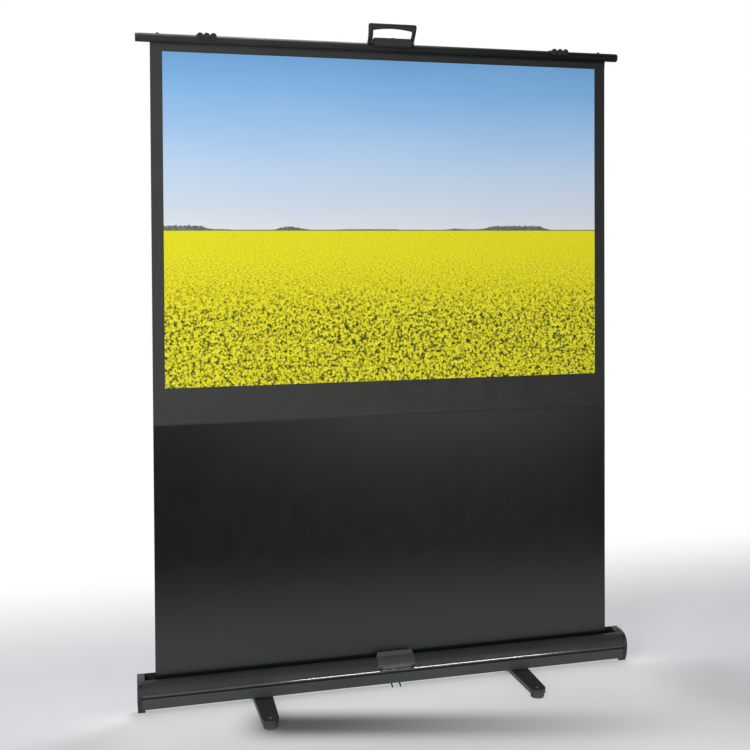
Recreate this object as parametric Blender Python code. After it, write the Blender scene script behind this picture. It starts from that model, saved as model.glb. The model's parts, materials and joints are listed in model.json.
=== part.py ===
"""A pull up projection screen, built piece by piece as it comes apart on a bench.

Metres, +Z up. +X points to the right and +Y away from someone who faces the picture. The origin is on
the floor, under the middle of the casing. The screen stands raised: a three stage scissor lift behind
the cloth holds up the top tube, and the cloth runs down to a sprung roller in the casing.
"""

import math

import bmesh
import bpy
from mathutils import Matrix, Vector

# Fits and facets
CLEARANCE = 0.0003
RUNNING_GAP = 0.0006
OVERRUN = 0.001
MERGE_DISTANCE = 0.000001
ROUND_STEPS = 20
PIN_STEPS = 12
FILLET_STEPS = 3
BOW_STEPS = 5
SMOOTH_ANGLE = math.radians(35)
FULL_TURN = 2 * math.pi
SIDES = {"left": -1, "right": 1}
ENDS = {"front": -1, "back": 1}

# Cloth and picture
PICTURE_WIDTH = 1.220
PICTURE_HEIGHT = 0.876
PICTURE_BOTTOM_Z = 0.850
SIDE_BORDER = 0.0315
TOP_BORDER = 0.016
SEAM_DROP = 0.0955
CLOTH_THICKNESS = 0.0008
CLOTH_FRONT_Y = 0.010
CLOTH_HALF_WIDTH = PICTURE_WIDTH / 2 + SIDE_BORDER
CLOTH_BACK_Y = CLOTH_FRONT_Y + CLOTH_THICKNESS
CLOTH_TOP_Z = PICTURE_BOTTOM_Z + PICTURE_HEIGHT + TOP_BORDER
SEAM_Z = PICTURE_BOTTOM_Z - SEAM_DROP

# Lengths and places that follow the cloth's width
CLOTH_END_ROOM = 0.0362
TUBE_OVERHANG = 0.0008
NUB_INSET = 0.0195
FOOT_PLACE_SHARE = 0.5356
CASING_HALF_LENGTH = CLOTH_HALF_WIDTH + CLOTH_END_ROOM
TUBE_HALF_LENGTH = CASING_HALF_LENGTH + TUBE_OVERHANG
NUB_X = CLOTH_HALF_WIDTH - NUB_INSET
FOOT_X = CASING_HALF_LENGTH * FOOT_PLACE_SHARE

# Hem batten and top tube
BATTEN_HEIGHT = 0.0058
BATTEN_DEPTH = 0.006
BATTEN_ROUND = 0.0015
TUBE_RADIUS = 0.0115
TUBE_WALL = 0.0012
TUBE_Y = CLOTH_FRONT_Y + CLOTH_THICKNESS / 2
TUBE_Z = CLOTH_TOP_Z + CLEARANCE + BATTEN_HEIGHT + CLEARANCE + TUBE_RADIUS
PLUG_CAP = 0.006
PLUG_DEPTH = 0.016
PLUG_CHAMFER = 0.0012
NUB_RADIUS = 0.0042
NUB_HEIGHT = 0.0026
NUB_SHANK_RADIUS = 0.0015
NUB_SHANK_DEPTH = 0.003

# Swivelling feet and their pads
FOOT_REACH = 0.168
FOOT_WIDTH = 0.044
FOOT_MIDDLE_WIDTH = 0.052
FOOT_THICKNESS = 0.012
FOOT_BEVEL = 0.0028
FOOT_BOSS_RADIUS = 0.015
FOOT_BOSS_HEIGHT = 0.0032
PAD_INSET = 0.022
PAD_REACH = FOOT_REACH - PAD_INSET
FOOT_TAPER = math.degrees(math.atan2(FOOT_MIDDLE_WIDTH - FOOT_WIDTH, 2 * FOOT_REACH - FOOT_WIDTH))
PAD_RADIUS = 0.018
PAD_HEIGHT = 0.0058
PAD_CHAMFER = 0.0012
PAD_NECK_RADIUS = 0.0150
PAD_NECK_HEIGHT = 0.0010
PAD_COLLAR_RADIUS = 0.0175
PAD_COLLAR_HEIGHT = 0.0049
STUD_RADIUS = 0.003
STUD_HEAD_RADIUS = 0.0058
STUD_HEAD_HEIGHT = 0.0024
FOOT_BOTTOM_Z = PAD_HEIGHT + PAD_NECK_HEIGHT + PAD_COLLAR_HEIGHT + CLEARANCE
FOOT_TOP_Z = FOOT_BOTTOM_Z + FOOT_THICKNESS
BOLT_RADIUS = 0.004
BOLT_HEAD_RADIUS = 0.0085
BOLT_HEAD_HEIGHT = 0.0043
NUT_RADIUS = 0.0075
NUT_HEIGHT = 0.004

# Casing extrusion
CASING_WALL = 0.0016
CASING_FLOOR_HALF_DEPTH = 0.0282
CASING_HALF_DEPTH = 0.036
CASING_WAIST_HEIGHT = 0.0372
CASING_FRONT_HEIGHT = 0.0651
CASING_BACK_HEIGHT = 0.0725
CASING_FRONT_EDGE_Y = -0.0128
CASING_BACK_EDGE_Y = 0.0315
CASING_FLANK_BOW = 0.0017
CASING_BACK_BOW = 0.0006
GROOVE_DROP = 0.0021
GROOVE_WIDTH = 0.0014
GROOVE_DEPTH = 0.0008
CASING_BOTTOM_Z = FOOT_TOP_Z + FOOT_BOSS_HEIGHT + CLEARANCE
CASING_WAIST_Z = CASING_BOTTOM_Z + CASING_WAIST_HEIGHT
CASING_FRONT_Z = CASING_BOTTOM_Z + CASING_FRONT_HEIGHT
CASING_BACK_Z = CASING_BOTTOM_Z + CASING_BACK_HEIGHT
CASING_INSIDE_Z = CASING_BOTTOM_Z + CASING_WALL

# End caps
CAP_THICKNESS = 0.010
CAP_OVERHANG = 0.0008
CAP_SHOULDER_Y = -0.001
CAP_BEVEL = 0.0012
SPIGOT_DEPTH = 0.008
CAP_LIP_LENGTH = 0.0195
CAP_LIP_DROP = 0.0072
CAP_LIP_TAPER = 0.002
CAP_TOP_Z = CASING_BACK_Z + CAP_OVERHANG

# Roller
ROLLER_RADIUS = 0.0125
ROLLER_WALL = 0.001
WRAP_THICKNESS = 0.0014
ROLLER_HEIGHT = 0.0385
ROLLER_END_GAP = 0.0042
ROLLER_FLANGE = 0.002
ROLLER_PLUG_DEPTH = 0.020
GUDGEON_RADIUS = 0.003
GUDGEON_LENGTH = 0.0135
WRAP_RADIUS = ROLLER_RADIUS + CLEARANCE + WRAP_THICKNESS
ROLLER_Y = CLOTH_FRONT_Y - CLEARANCE - WRAP_RADIUS
ROLLER_Z = CASING_BOTTOM_Z + ROLLER_HEIGHT
ROLLER_HALF_LENGTH = CASING_HALF_LENGTH - SPIGOT_DEPTH - ROLLER_END_GAP

# Scissor lift
STAGES = 3
TRACK_CAP_GAP = 0.0190
TRACK_END_MARGIN = 0.008
GLIDE_RADIUS = 0.004
LOWER_PIVOT_HEIGHT = 0.0165
TOP_PIVOT_DROP = 0.019
ARM_WIDTH = 0.014
ARM_THICKNESS = 0.0035
ARM_CLOTH_GAP = 0.0057
PARK_GAP = 0.0008
RIVET_RADIUS = 0.0029
RIVET_HEAD_RADIUS = 0.005
RIVET_HEAD_HEIGHT = 0.0014
RIVET_DOME = 0.0004
HANGER_THICKNESS = 0.0025
LOWER_PIVOT_Z = CASING_BOTTOM_Z + LOWER_PIVOT_HEIGHT
TOP_PIVOT_Z = TUBE_Z - TOP_PIVOT_DROP
STAGE_RISE = (TOP_PIVOT_Z - LOWER_PIVOT_Z) / STAGES
TUBE_PARKED_Z = CAP_TOP_Z + PARK_GAP + TUBE_RADIUS
STAGE_PARKED_RISE = (TUBE_PARKED_Z - TOP_PIVOT_DROP - LOWER_PIVOT_Z) / STAGES
PARKED_REACH = CASING_HALF_LENGTH - SPIGOT_DEPTH - TRACK_CAP_GAP - TRACK_END_MARGIN - GLIDE_RADIUS
RISE_GAIN = STAGE_RISE**2 - STAGE_PARKED_RISE**2

# The arms are as long folded as they are open: spread**2 + RISE_GAIN = (PARKED_REACH + spread / 2)**2
PIVOT_SPREAD = (PARKED_REACH + math.sqrt(4 * PARKED_REACH**2 - 3 * RISE_GAIN)) / (3 / 2)
SLIDE_TRAVEL = PARKED_REACH - PIVOT_SPREAD / 2
LEFT_PIVOT_X = -PIVOT_SPREAD / 2
RIGHT_PIVOT_X = PIVOT_SPREAD / 2
ARM_LENGTH = math.hypot(PIVOT_SPREAD, STAGE_RISE)
ARM_ANGLE = math.atan2(STAGE_RISE, PIVOT_SPREAD)
FRONT_ARM_Y = CLOTH_BACK_Y + ARM_CLOTH_GAP
REAR_ARM_Y = FRONT_ARM_Y + ARM_THICKNESS + RUNNING_GAP
HANGER_FRONT_Y = REAR_ARM_Y + ARM_THICKNESS + RUNNING_GAP
HANGER_BACK_Y = HANGER_FRONT_Y + HANGER_THICKNESS
ARM_LAYERS = {"front": FRONT_ARM_Y, "rear": REAR_ARM_Y}
ARM_TIERS = {"low": 0, "mid": 1, "high": 2}

# Lower bracket, tracks and the glides that run in them
BRACKET_HALF_WIDTH = 0.016
BRACKET_TOP_REACH = 0.009
BRACKET_FLANGE_DEPTH = 0.014
BRACKET_BEND = 0.004
GLIDE_FLANGE_RADIUS = 0.0055
GLIDE_FLANGE_HEIGHT = 0.0012
TRACK_START_X = RIGHT_PIVOT_X - GLIDE_RADIUS - TRACK_END_MARGIN
TRACK_END_X = RIGHT_PIVOT_X + SLIDE_TRAVEL + GLIDE_RADIUS + TRACK_END_MARGIN
RAIL_END_MARGIN = 0.005

# Saddles that carry the top tube
SADDLE_SHIFT = 0.0100
SADDLE_X = RIGHT_PIVOT_X + SADDLE_SHIFT
SADDLE_HALF_WIDTH = 0.0257
SADDLE_THICKNESS = 0.0022
SADDLE_SKIRT = 0.003
SADDLE_BACK_ROUND = 0.003
ROSETTE_RADIUS = 0.0085
ROSETTE_SPACING = 0.0172
ROSETTE_HEIGHT = 0.0032
ROSETTE_DROP = 0.0036
ROSETTE_RIM = 0.0016
ROSETTE_RECESS = 0.001
ROSETTE_CENTRE_RADIUS = 0.0024
ROSETTE_STEPS = 12
HANGER_DROP = 0.009
SADDLE_RADIUS = TUBE_RADIUS + CLEARANCE + SADDLE_THICKNESS

# Carrying handle
BASE_HALF_WIDTH = 0.052
BASE_FRONT_REACH = 0.0395
BASE_RISE = 0.0077
BASE_DROP = 0.0133
BASE_WALL = 0.0035
BASE_POCKET_DEPTH = 0.0047
BASE_POCKET_SEAT = 0.0085
BASE_BACK_REACH = 0.006
BASE_BACK_STEP = 0.004
BASE_BEVEL = 0.0012
BASE_LIP_HALF_WIDTH = 0.0045
BASE_LIP_HEIGHT = 0.0014
HINGE_GAP = 0.0008
HINGE_ANGLE = math.radians(45)
BAIL_EAR_RADIUS = 0.0062
BAIL_EAR_THICKNESS = 0.0120
BAIL_SIDE_GAP = 0.001
BAIL_HALF_WIDTH = 0.067
BAIL_RISE = 0.0469
BAIL_LEG_WIDTH = 0.0125
BAIL_GRIP_THICKNESS = 0.0130
BAIL_GRIP_DROP = 0.0050
BAIL_DEPTH = 0.0135
BAIL_FORWARD = 0.034
BAIL_CORNER = 0.005
BAIL_FILLET = 0.0035
BAIL_CORNER_STEPS = 3
BAIL_LEG_STATIONS = 7
BAIL_GRIP_STATIONS = 3
BAIL_RING_STEPS = 12
HANDLE_PIN_RADIUS = 0.002
HANDLE_PIN_HEAD_RADIUS = 0.0038
HANDLE_PIN_HEAD_HEIGHT = 0.0012
HANDLE_PIN_BITE = 0.008
HINGE_RADIUS = TUBE_RADIUS + HINGE_GAP + BAIL_EAR_RADIUS
HINGE_Y = TUBE_Y - HINGE_RADIUS * math.sin(HINGE_ANGLE)
HINGE_Z = TUBE_Z + HINGE_RADIUS * math.cos(HINGE_ANGLE)
BAIL_TOP_Y = TUBE_Y - BAIL_FORWARD
BASE_TOP_Z = TUBE_Z + TUBE_RADIUS + BASE_RISE
BAIL_TOP_Z = TUBE_Z + TUBE_RADIUS + BAIL_RISE

# Latch on the casing's front
LATCH_HALF_WIDTH = 0.053
LATCH_TONGUE_HALF_WIDTH = 0.040
LATCH_THICKNESS = 0.0018
LATCH_SKIN_GAP = 0.0005
LATCH_LIP_RISE = 0.015
LATCH_LIP_LEAN = 0.0063
LATCH_BARREL_RADIUS = 0.0026
LATCH_PIN_RADIUS = 0.0012
LATCH_PIN_HEAD_RADIUS = 0.002
LATCH_PIN_HEAD_HEIGHT = 0.001
LATCH_LUG_WIDTH = 0.006
LATCH_FOOT_ANGLE = 8
LATCH_SHOULDER_ANGLE = 22
LATCH_TOP_ANGLE = 80

# Hanging wire under the casing
WIRE_RADIUS = 0.0013
WIRE_HALF_WIDTH = 0.012
WIRE_BACK_Y = 0.012
WIRE_BEND_Y = -0.018
WIRE_TIP_Y = -0.0325
WIRE_TIP_DROP = 0.0075

# Colour, roughness and metallic value of each finish
FINISHES = {
    "black_paint": ((0.060, 0.066, 0.064), 0.38, 0.0),
    "black_plastic": ((0.030, 0.031, 0.031), 0.50, 0.0),
    "grey_plastic": ((0.075, 0.078, 0.078), 0.45, 0.0),
    "rubber": ((0.016, 0.016, 0.016), 0.75, 0.0),
    "black_cloth": ((0.020, 0.020, 0.019), 0.85, 0.0),
    "white_cloth": ((0.780, 0.780, 0.770), 0.80, 0.0),
    "aluminium": ((0.560, 0.570, 0.580), 0.35, 1.0),
    "zinc": ((0.620, 0.620, 0.600), 0.30, 1.0),
    "nylon": ((0.700, 0.700, 0.670), 0.55, 0.0),
}


def lift_point(x, level):
    """A pivot of the lift with the screen up: its X, and its height in stages above the lowest pivot."""
    return Vector((x, 0, LOWER_PIVOT_Z + level * STAGE_RISE))


def clear_scene():
    """Takes away whatever the scene holds."""
    for item in list(bpy.data.objects):
        bpy.data.objects.remove(item, do_unlink=True)


def add_bodies():
    """One empty on each moving body's joint axis, each under the empty of the body that carries it."""
    empties = {}
    for name, (point, carrier) in BODIES.items():
        empty = bpy.data.objects.new(f"joint_{name}", None)
        bpy.context.collection.objects.link(empty)
        empty.location = point
        if carrier:
            empty.parent = empties[carrier]
            empty.location = point - BODIES[carrier][0]
        empties[name] = empty
    return empties


def paint(item, finish):
    """Gives a piece its own material."""
    colour, roughness, metallic = FINISHES[finish]
    material = bpy.data.materials.new(item.name)
    material.use_nodes = True
    shader = material.node_tree.nodes["Principled BSDF"]
    shader.inputs["Base Color"].default_value = (*colour, 1)
    shader.inputs["Roughness"].default_value = roughness
    shader.inputs["Metallic"].default_value = metallic
    item.data.materials.append(material)


def add_piece(name, bm, finish=None):
    """Turns a bmesh into an object. A piece without a finish is a tool that cuts or joins another."""
    bmesh.ops.remove_doubles(bm, verts=bm.verts, dist=MERGE_DISTANCE)
    bmesh.ops.recalc_face_normals(bm, faces=bm.faces)
    mesh = bpy.data.meshes.new(name)
    bm.to_mesh(mesh)
    bm.free()
    mesh.shade_smooth()
    mesh.set_sharp_from_angle(angle=SMOOTH_ANGLE)
    item = bpy.data.objects.new(name, mesh)
    bpy.context.collection.objects.link(item)
    if finish:
        paint(item, finish)
    return item


def shape(item, operation, tools):
    """Cuts or joins the tools into a piece. The tools become its children and aren't shown."""
    for tool in tools:
        tool.hide_render = True
        tool.display_type = "WIRE"
        tool.parent = item
        modifier = item.modifiers.new(tool.name, "BOOLEAN")
        modifier.operation = operation
        modifier.solver = "EXACT"
        modifier.object = tool
    return item


def carry(item, body):
    """Hands a piece to a moving body, with the piece's origin on that body's joint axis."""
    shift = Matrix.Translation(-BODIES[body][0])
    for part in (item, *item.children):
        part.data.transform(shift)
    item.parent = bodies[body]
    return item


def bevel(item, width, segments=2):
    """Rounds a piece's sharp edges."""
    modifier = item.modifiers.new("edges", "BEVEL")
    modifier.width = width
    modifier.segments = segments
    modifier.limit_method = "ANGLE"
    modifier.angle_limit = SMOOTH_ANGLE
    return item


def along(axis, u, v, w):
    """The point at w along an axis, and at u and v on the other two in X, Y, Z order."""
    if axis == "X":
        return Vector((w, u, v))
    if axis == "Y":
        return Vector((u, w, v))
    return Vector((u, v, w))


def extruded(name, outline, axis, start, end, finish=None):
    """A flat closed outline carried along an axis."""
    bm = bmesh.new()
    face = bm.faces.new([bm.verts.new(along(axis, u, v, start)) for u, v in outline])
    grown = bmesh.ops.extrude_face_region(bm, geom=[face])["geom"]
    moved = [part for part in grown if isinstance(part, bmesh.types.BMVert)]
    bmesh.ops.translate(bm, verts=moved, vec=along(axis, 0, 0, end - start))
    return add_piece(name, bm, finish)


def turned(name, profile, axis, u, v, finish=None, steps=PIN_STEPS, ring=False):
    """A profile of (radius, place along the axis) points spun about an axis through u, v.

    The profile starts and ends on the axis, or closes on itself where ring is set.
    """
    bm = bmesh.new()
    points = [bm.verts.new(along(axis, u + radius, v, place)) for radius, place in profile]
    pairs = list(zip(points, points[1:]))
    if ring:
        pairs.append((points[-1], points[0]))
    edges = [bm.edges.new(pair) for pair in pairs]
    bmesh.ops.spin(
        bm,
        geom=points + edges,
        cent=along(axis, u, v, 0),
        axis=along(axis, 0, 0, 1),
        dvec=Vector(),
        angle=FULL_TURN,
        steps=steps,
        use_merge=True,
    )
    return add_piece(name, bm, finish)


def rod(name, radius, axis, u, v, start, end, finish=None, steps=PIN_STEPS):
    """A plain round rod, or the cutter of a round hole."""
    profile = [(0, start), (radius, start), (radius, end), (0, end)]
    return turned(name, profile, axis, u, v, finish, steps)


def pipe(name, outer, inner, axis, u, v, start, end, finish=None):
    """A round tube with an open bore."""
    profile = [(outer, start), (outer, end), (inner, end), (inner, start)]
    return turned(name, profile, axis, u, v, finish, ROUND_STEPS, ring=True)


def lofted(name, rings, finish=None):
    """Closed rings of points joined one to the next, with a face across each end."""
    bm = bmesh.new()
    loops = [[bm.verts.new(point) for point in ring] for ring in rings]
    for near, far in zip(loops, loops[1:]):
        for index, vert in enumerate(near):
            before = index - 1
            bm.faces.new((near[before], vert, far[index], far[before]))
    bm.faces.new(loops[0])
    bm.faces.new(loops[-1])
    return add_piece(name, bm, finish)


def rectangle(u_low, u_high, v_low, v_high):
    """The corners of a rectangle."""
    return [(u_low, v_low), (u_high, v_low), (u_high, v_high), (u_low, v_high)]


def rounded(corners, radius, steps=FILLET_STEPS):
    """A closed outline with every corner rounded."""
    points = []
    for index, corner in enumerate(corners):
        here = Vector(corner)
        to_before = (Vector(corners[index - 1]) - here).normalized()
        to_after = (Vector(corners[(index + 1) % len(corners)]) - here).normalized()
        half_angle = to_before.angle(to_after) / 2
        centre = here + (to_before + to_after).normalized() * (radius / math.sin(half_angle))
        reach = radius / math.tan(half_angle)
        start = here + to_before * reach - centre
        end = here + to_after * reach - centre
        for step in range(steps + 1):
            points.append(tuple(centre + start.lerp(end, step / steps).normalized() * radius))
    return points


def arc(centre_u, centre_v, radius_u, radius_v, start, end, steps):
    """Points on a round or elliptic arc, from one angle in degrees to another."""
    angles = [math.radians(start + (end - start) * step / steps) for step in range(steps + 1)]
    return [(centre_u + radius_u * math.cos(a), centre_v + radius_v * math.sin(a)) for a in angles]


def bowed(start, end, bow, steps=BOW_STEPS):
    """Points from start up to but not onto end, bowed out to the left of the way they run."""
    start, end = Vector(start), Vector(end)
    direction = (end - start).normalized()
    outward = Vector((-direction.y, direction.x))
    shares = [step / steps for step in range(steps)]
    return [tuple(start.lerp(end, share) + outward * (bow * 4 * share * (1 - share))) for share in shares]


def offset_path(path, distance):
    """An open path moved sideways, to the left of the way it runs, with its corners kept."""
    points = [Vector(point) for point in path]
    normals = []
    for here, there in zip(points, points[1:]):
        direction = (there - here).normalized()
        normals.append(Vector((-direction.y, direction.x)))
    moved = [points[0] + normals[0] * distance]
    for point, before, after in zip(points[1:-1], normals, normals[1:]):
        middle = (before + after).normalized()
        moved.append(point + middle * (distance / middle.dot(after)))
    moved.append(points[-1] + normals[-1] * distance)
    return [tuple(point) for point in moved]


def capsule(u_low, u_high, v, radius, steps=PIN_STEPS):
    """The outline of a slot or a round ended bar that lies along u."""
    right = arc(u_high, v, radius, radius, -90, 90, steps)
    left = arc(u_low, v, radius, radius, 90, 270, steps)
    return right + left


def front_curve(start, end, steps=BOW_STEPS * 2):
    """The casing's curved upper front, between two angles above its waist."""
    return arc(
        CASING_FRONT_EDGE_Y,
        CASING_WAIST_Z,
        -(CASING_HALF_DEPTH + CASING_FRONT_EDGE_Y),
        CASING_FRONT_HEIGHT - CASING_WAIST_HEIGHT,
        start,
        end,
        steps,
    )


def casing_path():
    """The casing's outside, from its back edge down, under and up to its front edge."""
    back_edge = (CASING_BACK_EDGE_Y, CASING_BACK_Z)
    back_waist = (CASING_HALF_DEPTH, CASING_WAIST_Z)
    back_floor = (CASING_FLOOR_HALF_DEPTH, CASING_BOTTOM_Z)
    front_floor = (-CASING_FLOOR_HALF_DEPTH, CASING_BOTTOM_Z)
    front_waist = (-CASING_HALF_DEPTH, CASING_WAIST_Z)
    path = bowed(back_edge, back_waist, CASING_BACK_BOW)
    path += bowed(back_waist, back_floor, CASING_FLANK_BOW)
    path.append(back_floor)
    path += bowed(front_floor, front_waist, CASING_FLANK_BOW)
    return path + front_curve(0, 90)


def add_casing_shell():
    """The long open-topped extrusion, with its groove and the holes for the foot bolts."""
    outside = casing_path()
    inside = offset_path(outside, -CASING_WALL)
    shell = extruded(
        "casing_shell",
        outside + inside[::-1],
        "X",
        -CASING_HALF_LENGTH,
        CASING_HALF_LENGTH,
        "black_paint",
    )
    groove_z = CASING_WAIST_Z - GROOVE_DROP
    groove = extruded(
        "groove_cutter",
        rectangle(
            -CASING_HALF_DEPTH - OVERRUN,
            -CASING_HALF_DEPTH + GROOVE_DEPTH,
            groove_z - GROOVE_WIDTH / 2,
            groove_z + GROOVE_WIDTH / 2,
        ),
        "X",
        -CASING_HALF_LENGTH - OVERRUN,
        CASING_HALF_LENGTH + OVERRUN,
    )
    holes = [
        rod(
            f"bolt_hole_cutter_{name}",
            BOLT_RADIUS + CLEARANCE,
            "Z",
            side * FOOT_X,
            0,
            CASING_BOTTOM_Z - OVERRUN,
            CASING_INSIDE_Z + OVERRUN,
        )
        for name, side in SIDES.items()
    ]
    return shape(shell, "DIFFERENCE", [groove, *holes])


def add_end_cap(name, side):
    """A moulded cap: its face plate, the spigot inside the casing, the lip below and the roller's seat."""
    path = casing_path()
    cover = offset_path(path, CAP_OVERHANG) + [(CAP_SHOULDER_Y, CAP_TOP_Z)]
    inner_x = side * CASING_HALF_LENGTH
    face_x = side * (CASING_HALF_LENGTH + CLEARANCE)
    outer_x = face_x + side * CAP_THICKNESS
    cap = extruded(f"end_cap_{name}", cover, "X", face_x, outer_x, "black_plastic")
    bevel(cap, CAP_BEVEL)
    spigot = extruded(
        f"spigot_{name}",
        offset_path(path, -CASING_WALL - CLEARANCE),
        "X",
        inner_x - side * SPIGOT_DEPTH,
        face_x + side * OVERRUN,
    )
    lip_top = CASING_BOTTOM_Z - CLEARANCE
    lip_bottom = CASING_BOTTOM_Z - CAP_LIP_DROP
    lip_foot = CASING_FLOOR_HALF_DEPTH - CAP_LIP_TAPER
    lip = extruded(
        f"lip_{name}",
        [
            (-CASING_FLOOR_HALF_DEPTH, lip_top),
            (-lip_foot, lip_bottom),
            (lip_foot, lip_bottom),
            (CASING_FLOOR_HALF_DEPTH, lip_top),
        ],
        "X",
        outer_x - side * CAP_LIP_LENGTH,
        outer_x - side * CAP_BEVEL,
    )
    shape(cap, "UNION", [spigot, lip])
    gudgeon_tip = side * (ROLLER_HALF_LENGTH + ROLLER_FLANGE + GUDGEON_LENGTH)
    seat = rod(
        f"seat_cutter_{name}",
        GUDGEON_RADIUS + CLEARANCE,
        "X",
        ROLLER_Y,
        ROLLER_Z,
        inner_x - side * (SPIGOT_DEPTH + OVERRUN),
        gudgeon_tip + side * OVERRUN,
    )
    return shape(cap, "DIFFERENCE", [seat])


def add_roller():
    """The roller tube, the last turns of cloth on it, and the plugs whose gudgeons the end caps hold."""
    carry(
        pipe(
            "roller_tube",
            ROLLER_RADIUS,
            ROLLER_RADIUS - ROLLER_WALL,
            "X",
            ROLLER_Y,
            ROLLER_Z,
            -ROLLER_HALF_LENGTH,
            ROLLER_HALF_LENGTH,
            "aluminium",
        ),
        "roller",
    )
    carry(
        pipe(
            "roller_wraps",
            WRAP_RADIUS,
            ROLLER_RADIUS + CLEARANCE,
            "X",
            ROLLER_Y,
            ROLLER_Z,
            -CLOTH_HALF_WIDTH,
            CLOTH_HALF_WIDTH,
            "black_cloth",
        ),
        "roller",
    )
    for name, side in SIDES.items():
        start = ROLLER_HALF_LENGTH - ROLLER_PLUG_DEPTH
        flange_start = ROLLER_HALF_LENGTH + CLEARANCE
        flange_end = ROLLER_HALF_LENGTH + ROLLER_FLANGE
        core = ROLLER_RADIUS - ROLLER_WALL - CLEARANCE
        profile = [
            (0, start),
            (core, start),
            (core, flange_start),
            (ROLLER_RADIUS, flange_start),
            (ROLLER_RADIUS, flange_end),
            (GUDGEON_RADIUS, flange_end),
            (GUDGEON_RADIUS, flange_end + GUDGEON_LENGTH),
            (0, flange_end + GUDGEON_LENGTH),
        ]
        profile = [(radius, side * place) for radius, place in profile]
        plug = turned(f"roller_plug_{name}", profile, "X", ROLLER_Y, ROLLER_Z, "grey_plastic")
        carry(plug, "roller")


def add_cloth():
    """The screen cloth above the seam, and the black skirt that goes down to the roller."""
    for name, bottom, top, finish in (
        ("screen_cloth", SEAM_Z + CLEARANCE, CLOTH_TOP_Z, "white_cloth"),
        ("skirt_cloth", ROLLER_Z, SEAM_Z, "black_cloth"),
    ):
        outline = rectangle(CLOTH_FRONT_Y, CLOTH_BACK_Y, bottom, top)
        extruded(name, outline, "X", -CLOTH_HALF_WIDTH, CLOTH_HALF_WIDTH, finish)


def add_arm(tier, layer):
    """A flat scissor arm. Front arms rise to the right and rear arms fall, pivoting at ends and middle."""
    name = f"arm_{tier}_{layer}"
    joint, _ = BODIES[name]
    start = (LEFT_PIVOT_X - joint.x) / PIVOT_SPREAD * ARM_LENGTH
    end = start + ARM_LENGTH
    front = ARM_LAYERS[layer]
    back = front + ARM_THICKNESS
    arm = extruded(name, capsule(start, end, 0, ARM_WIDTH / 2), "Y", front, back, "black_paint")
    holes = [
        rod(
            f"{name}_hole_{index}",
            RIVET_RADIUS + CLEARANCE,
            "Y",
            place,
            0,
            front - OVERRUN,
            back + OVERRUN,
        )
        for index, place in enumerate((start, (start + end) / 2, end))
    ]
    shape(arm, "DIFFERENCE", holes)
    arm.parent = bodies[name]
    arm.rotation_euler.y = -ARM_ANGLE if layer == "front" else ARM_ANGLE
    return arm


def headed(front, back):
    """A rivet's profile, from the face it sits on in front to the one behind."""
    front_seat = front - CLEARANCE
    back_seat = back + CLEARANCE
    front_face = front_seat - RIVET_HEAD_HEIGHT
    back_face = back_seat + RIVET_HEAD_HEIGHT
    return [
        (0, front_face),
        (RIVET_HEAD_RADIUS - RIVET_DOME, front_face),
        (RIVET_HEAD_RADIUS, front_face + RIVET_DOME),
        (RIVET_HEAD_RADIUS, front_seat),
        (RIVET_RADIUS, front_seat),
        (RIVET_RADIUS, back_seat),
        (RIVET_HEAD_RADIUS, back_seat),
        (RIVET_HEAD_RADIUS, back_face - RIVET_DOME),
        (RIVET_HEAD_RADIUS - RIVET_DOME, back_face),
        (0, back_face),
    ]


def add_rivet(name, x, level, body):
    """A rivet through a front arm and a rear arm."""
    point = lift_point(x, level)
    profile = headed(FRONT_ARM_Y, REAR_ARM_Y + ARM_THICKNESS)
    return carry(turned(name, profile, "Y", point.x, point.z, "zinc"), body)


def collar(arm_back):
    """The part of a pin's profile that fills the space between a front arm and a hanger plate."""
    start = arm_back + CLEARANCE
    end = HANGER_FRONT_Y - CLEARANCE
    if end - start < RUNNING_GAP:
        return []
    return [
        (RIVET_RADIUS, start),
        (RIVET_HEAD_RADIUS, start),
        (RIVET_HEAD_RADIUS, end),
        (RIVET_RADIUS, end),
    ]


def pivot_pin(name, x, level, arm_front):
    """A fixed pin: from a hanger plate, over a collar, through an arm whose front face is given."""
    point = lift_point(x, level)
    profile = headed(arm_front, HANGER_BACK_Y)
    profile[5:5] = collar(arm_front + ARM_THICKNESS)
    return turned(name, profile, "Y", point.x, point.z, "zinc")


def glide_pin(name, level, layer):
    """The pin on an arm's sliding end, with the nylon glide that runs in a track's slot."""
    point = lift_point(RIGHT_PIVOT_X, level)
    front = ARM_LAYERS[layer]
    arm_back = front + ARM_THICKNESS
    slot_back = HANGER_BACK_Y + CLEARANCE
    glide = [
        (RIVET_RADIUS, HANGER_FRONT_Y),
        (GLIDE_RADIUS, HANGER_FRONT_Y),
        (GLIDE_RADIUS, slot_back),
        (GLIDE_FLANGE_RADIUS, slot_back),
        (GLIDE_FLANGE_RADIUS, slot_back + GLIDE_FLANGE_HEIGHT),
        (0, slot_back + GLIDE_FLANGE_HEIGHT),
    ]
    profile = headed(front, arm_back)[:5] + collar(arm_back) + glide
    return turned(name, profile, "Y", point.x, point.z, "nylon")


def add_scissor_lift():
    """Three stages of crossed arms and their rivets."""
    for tier in ARM_TIERS:
        for layer in ARM_LAYERS:
            add_arm(tier, layer)
    for tier, level in ARM_TIERS.items():
        add_rivet(f"rivet_{tier}_middle", 0, level + 1 / 2, f"arm_{tier}_rear")
    add_rivet("rivet_low_right", RIGHT_PIVOT_X, 1, "arm_low_front")
    add_rivet("rivet_low_left", LEFT_PIVOT_X, 1, "arm_low_rear")
    add_rivet("rivet_mid_left", LEFT_PIVOT_X, 2, "arm_mid_rear")
    add_rivet("rivet_mid_right", RIGHT_PIVOT_X, 2, "arm_mid_front")
    carry(glide_pin("glide_low", 0, "rear"), "arm_low_rear")
    carry(glide_pin("glide_high", STAGES, "front"), "arm_high_front")


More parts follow.
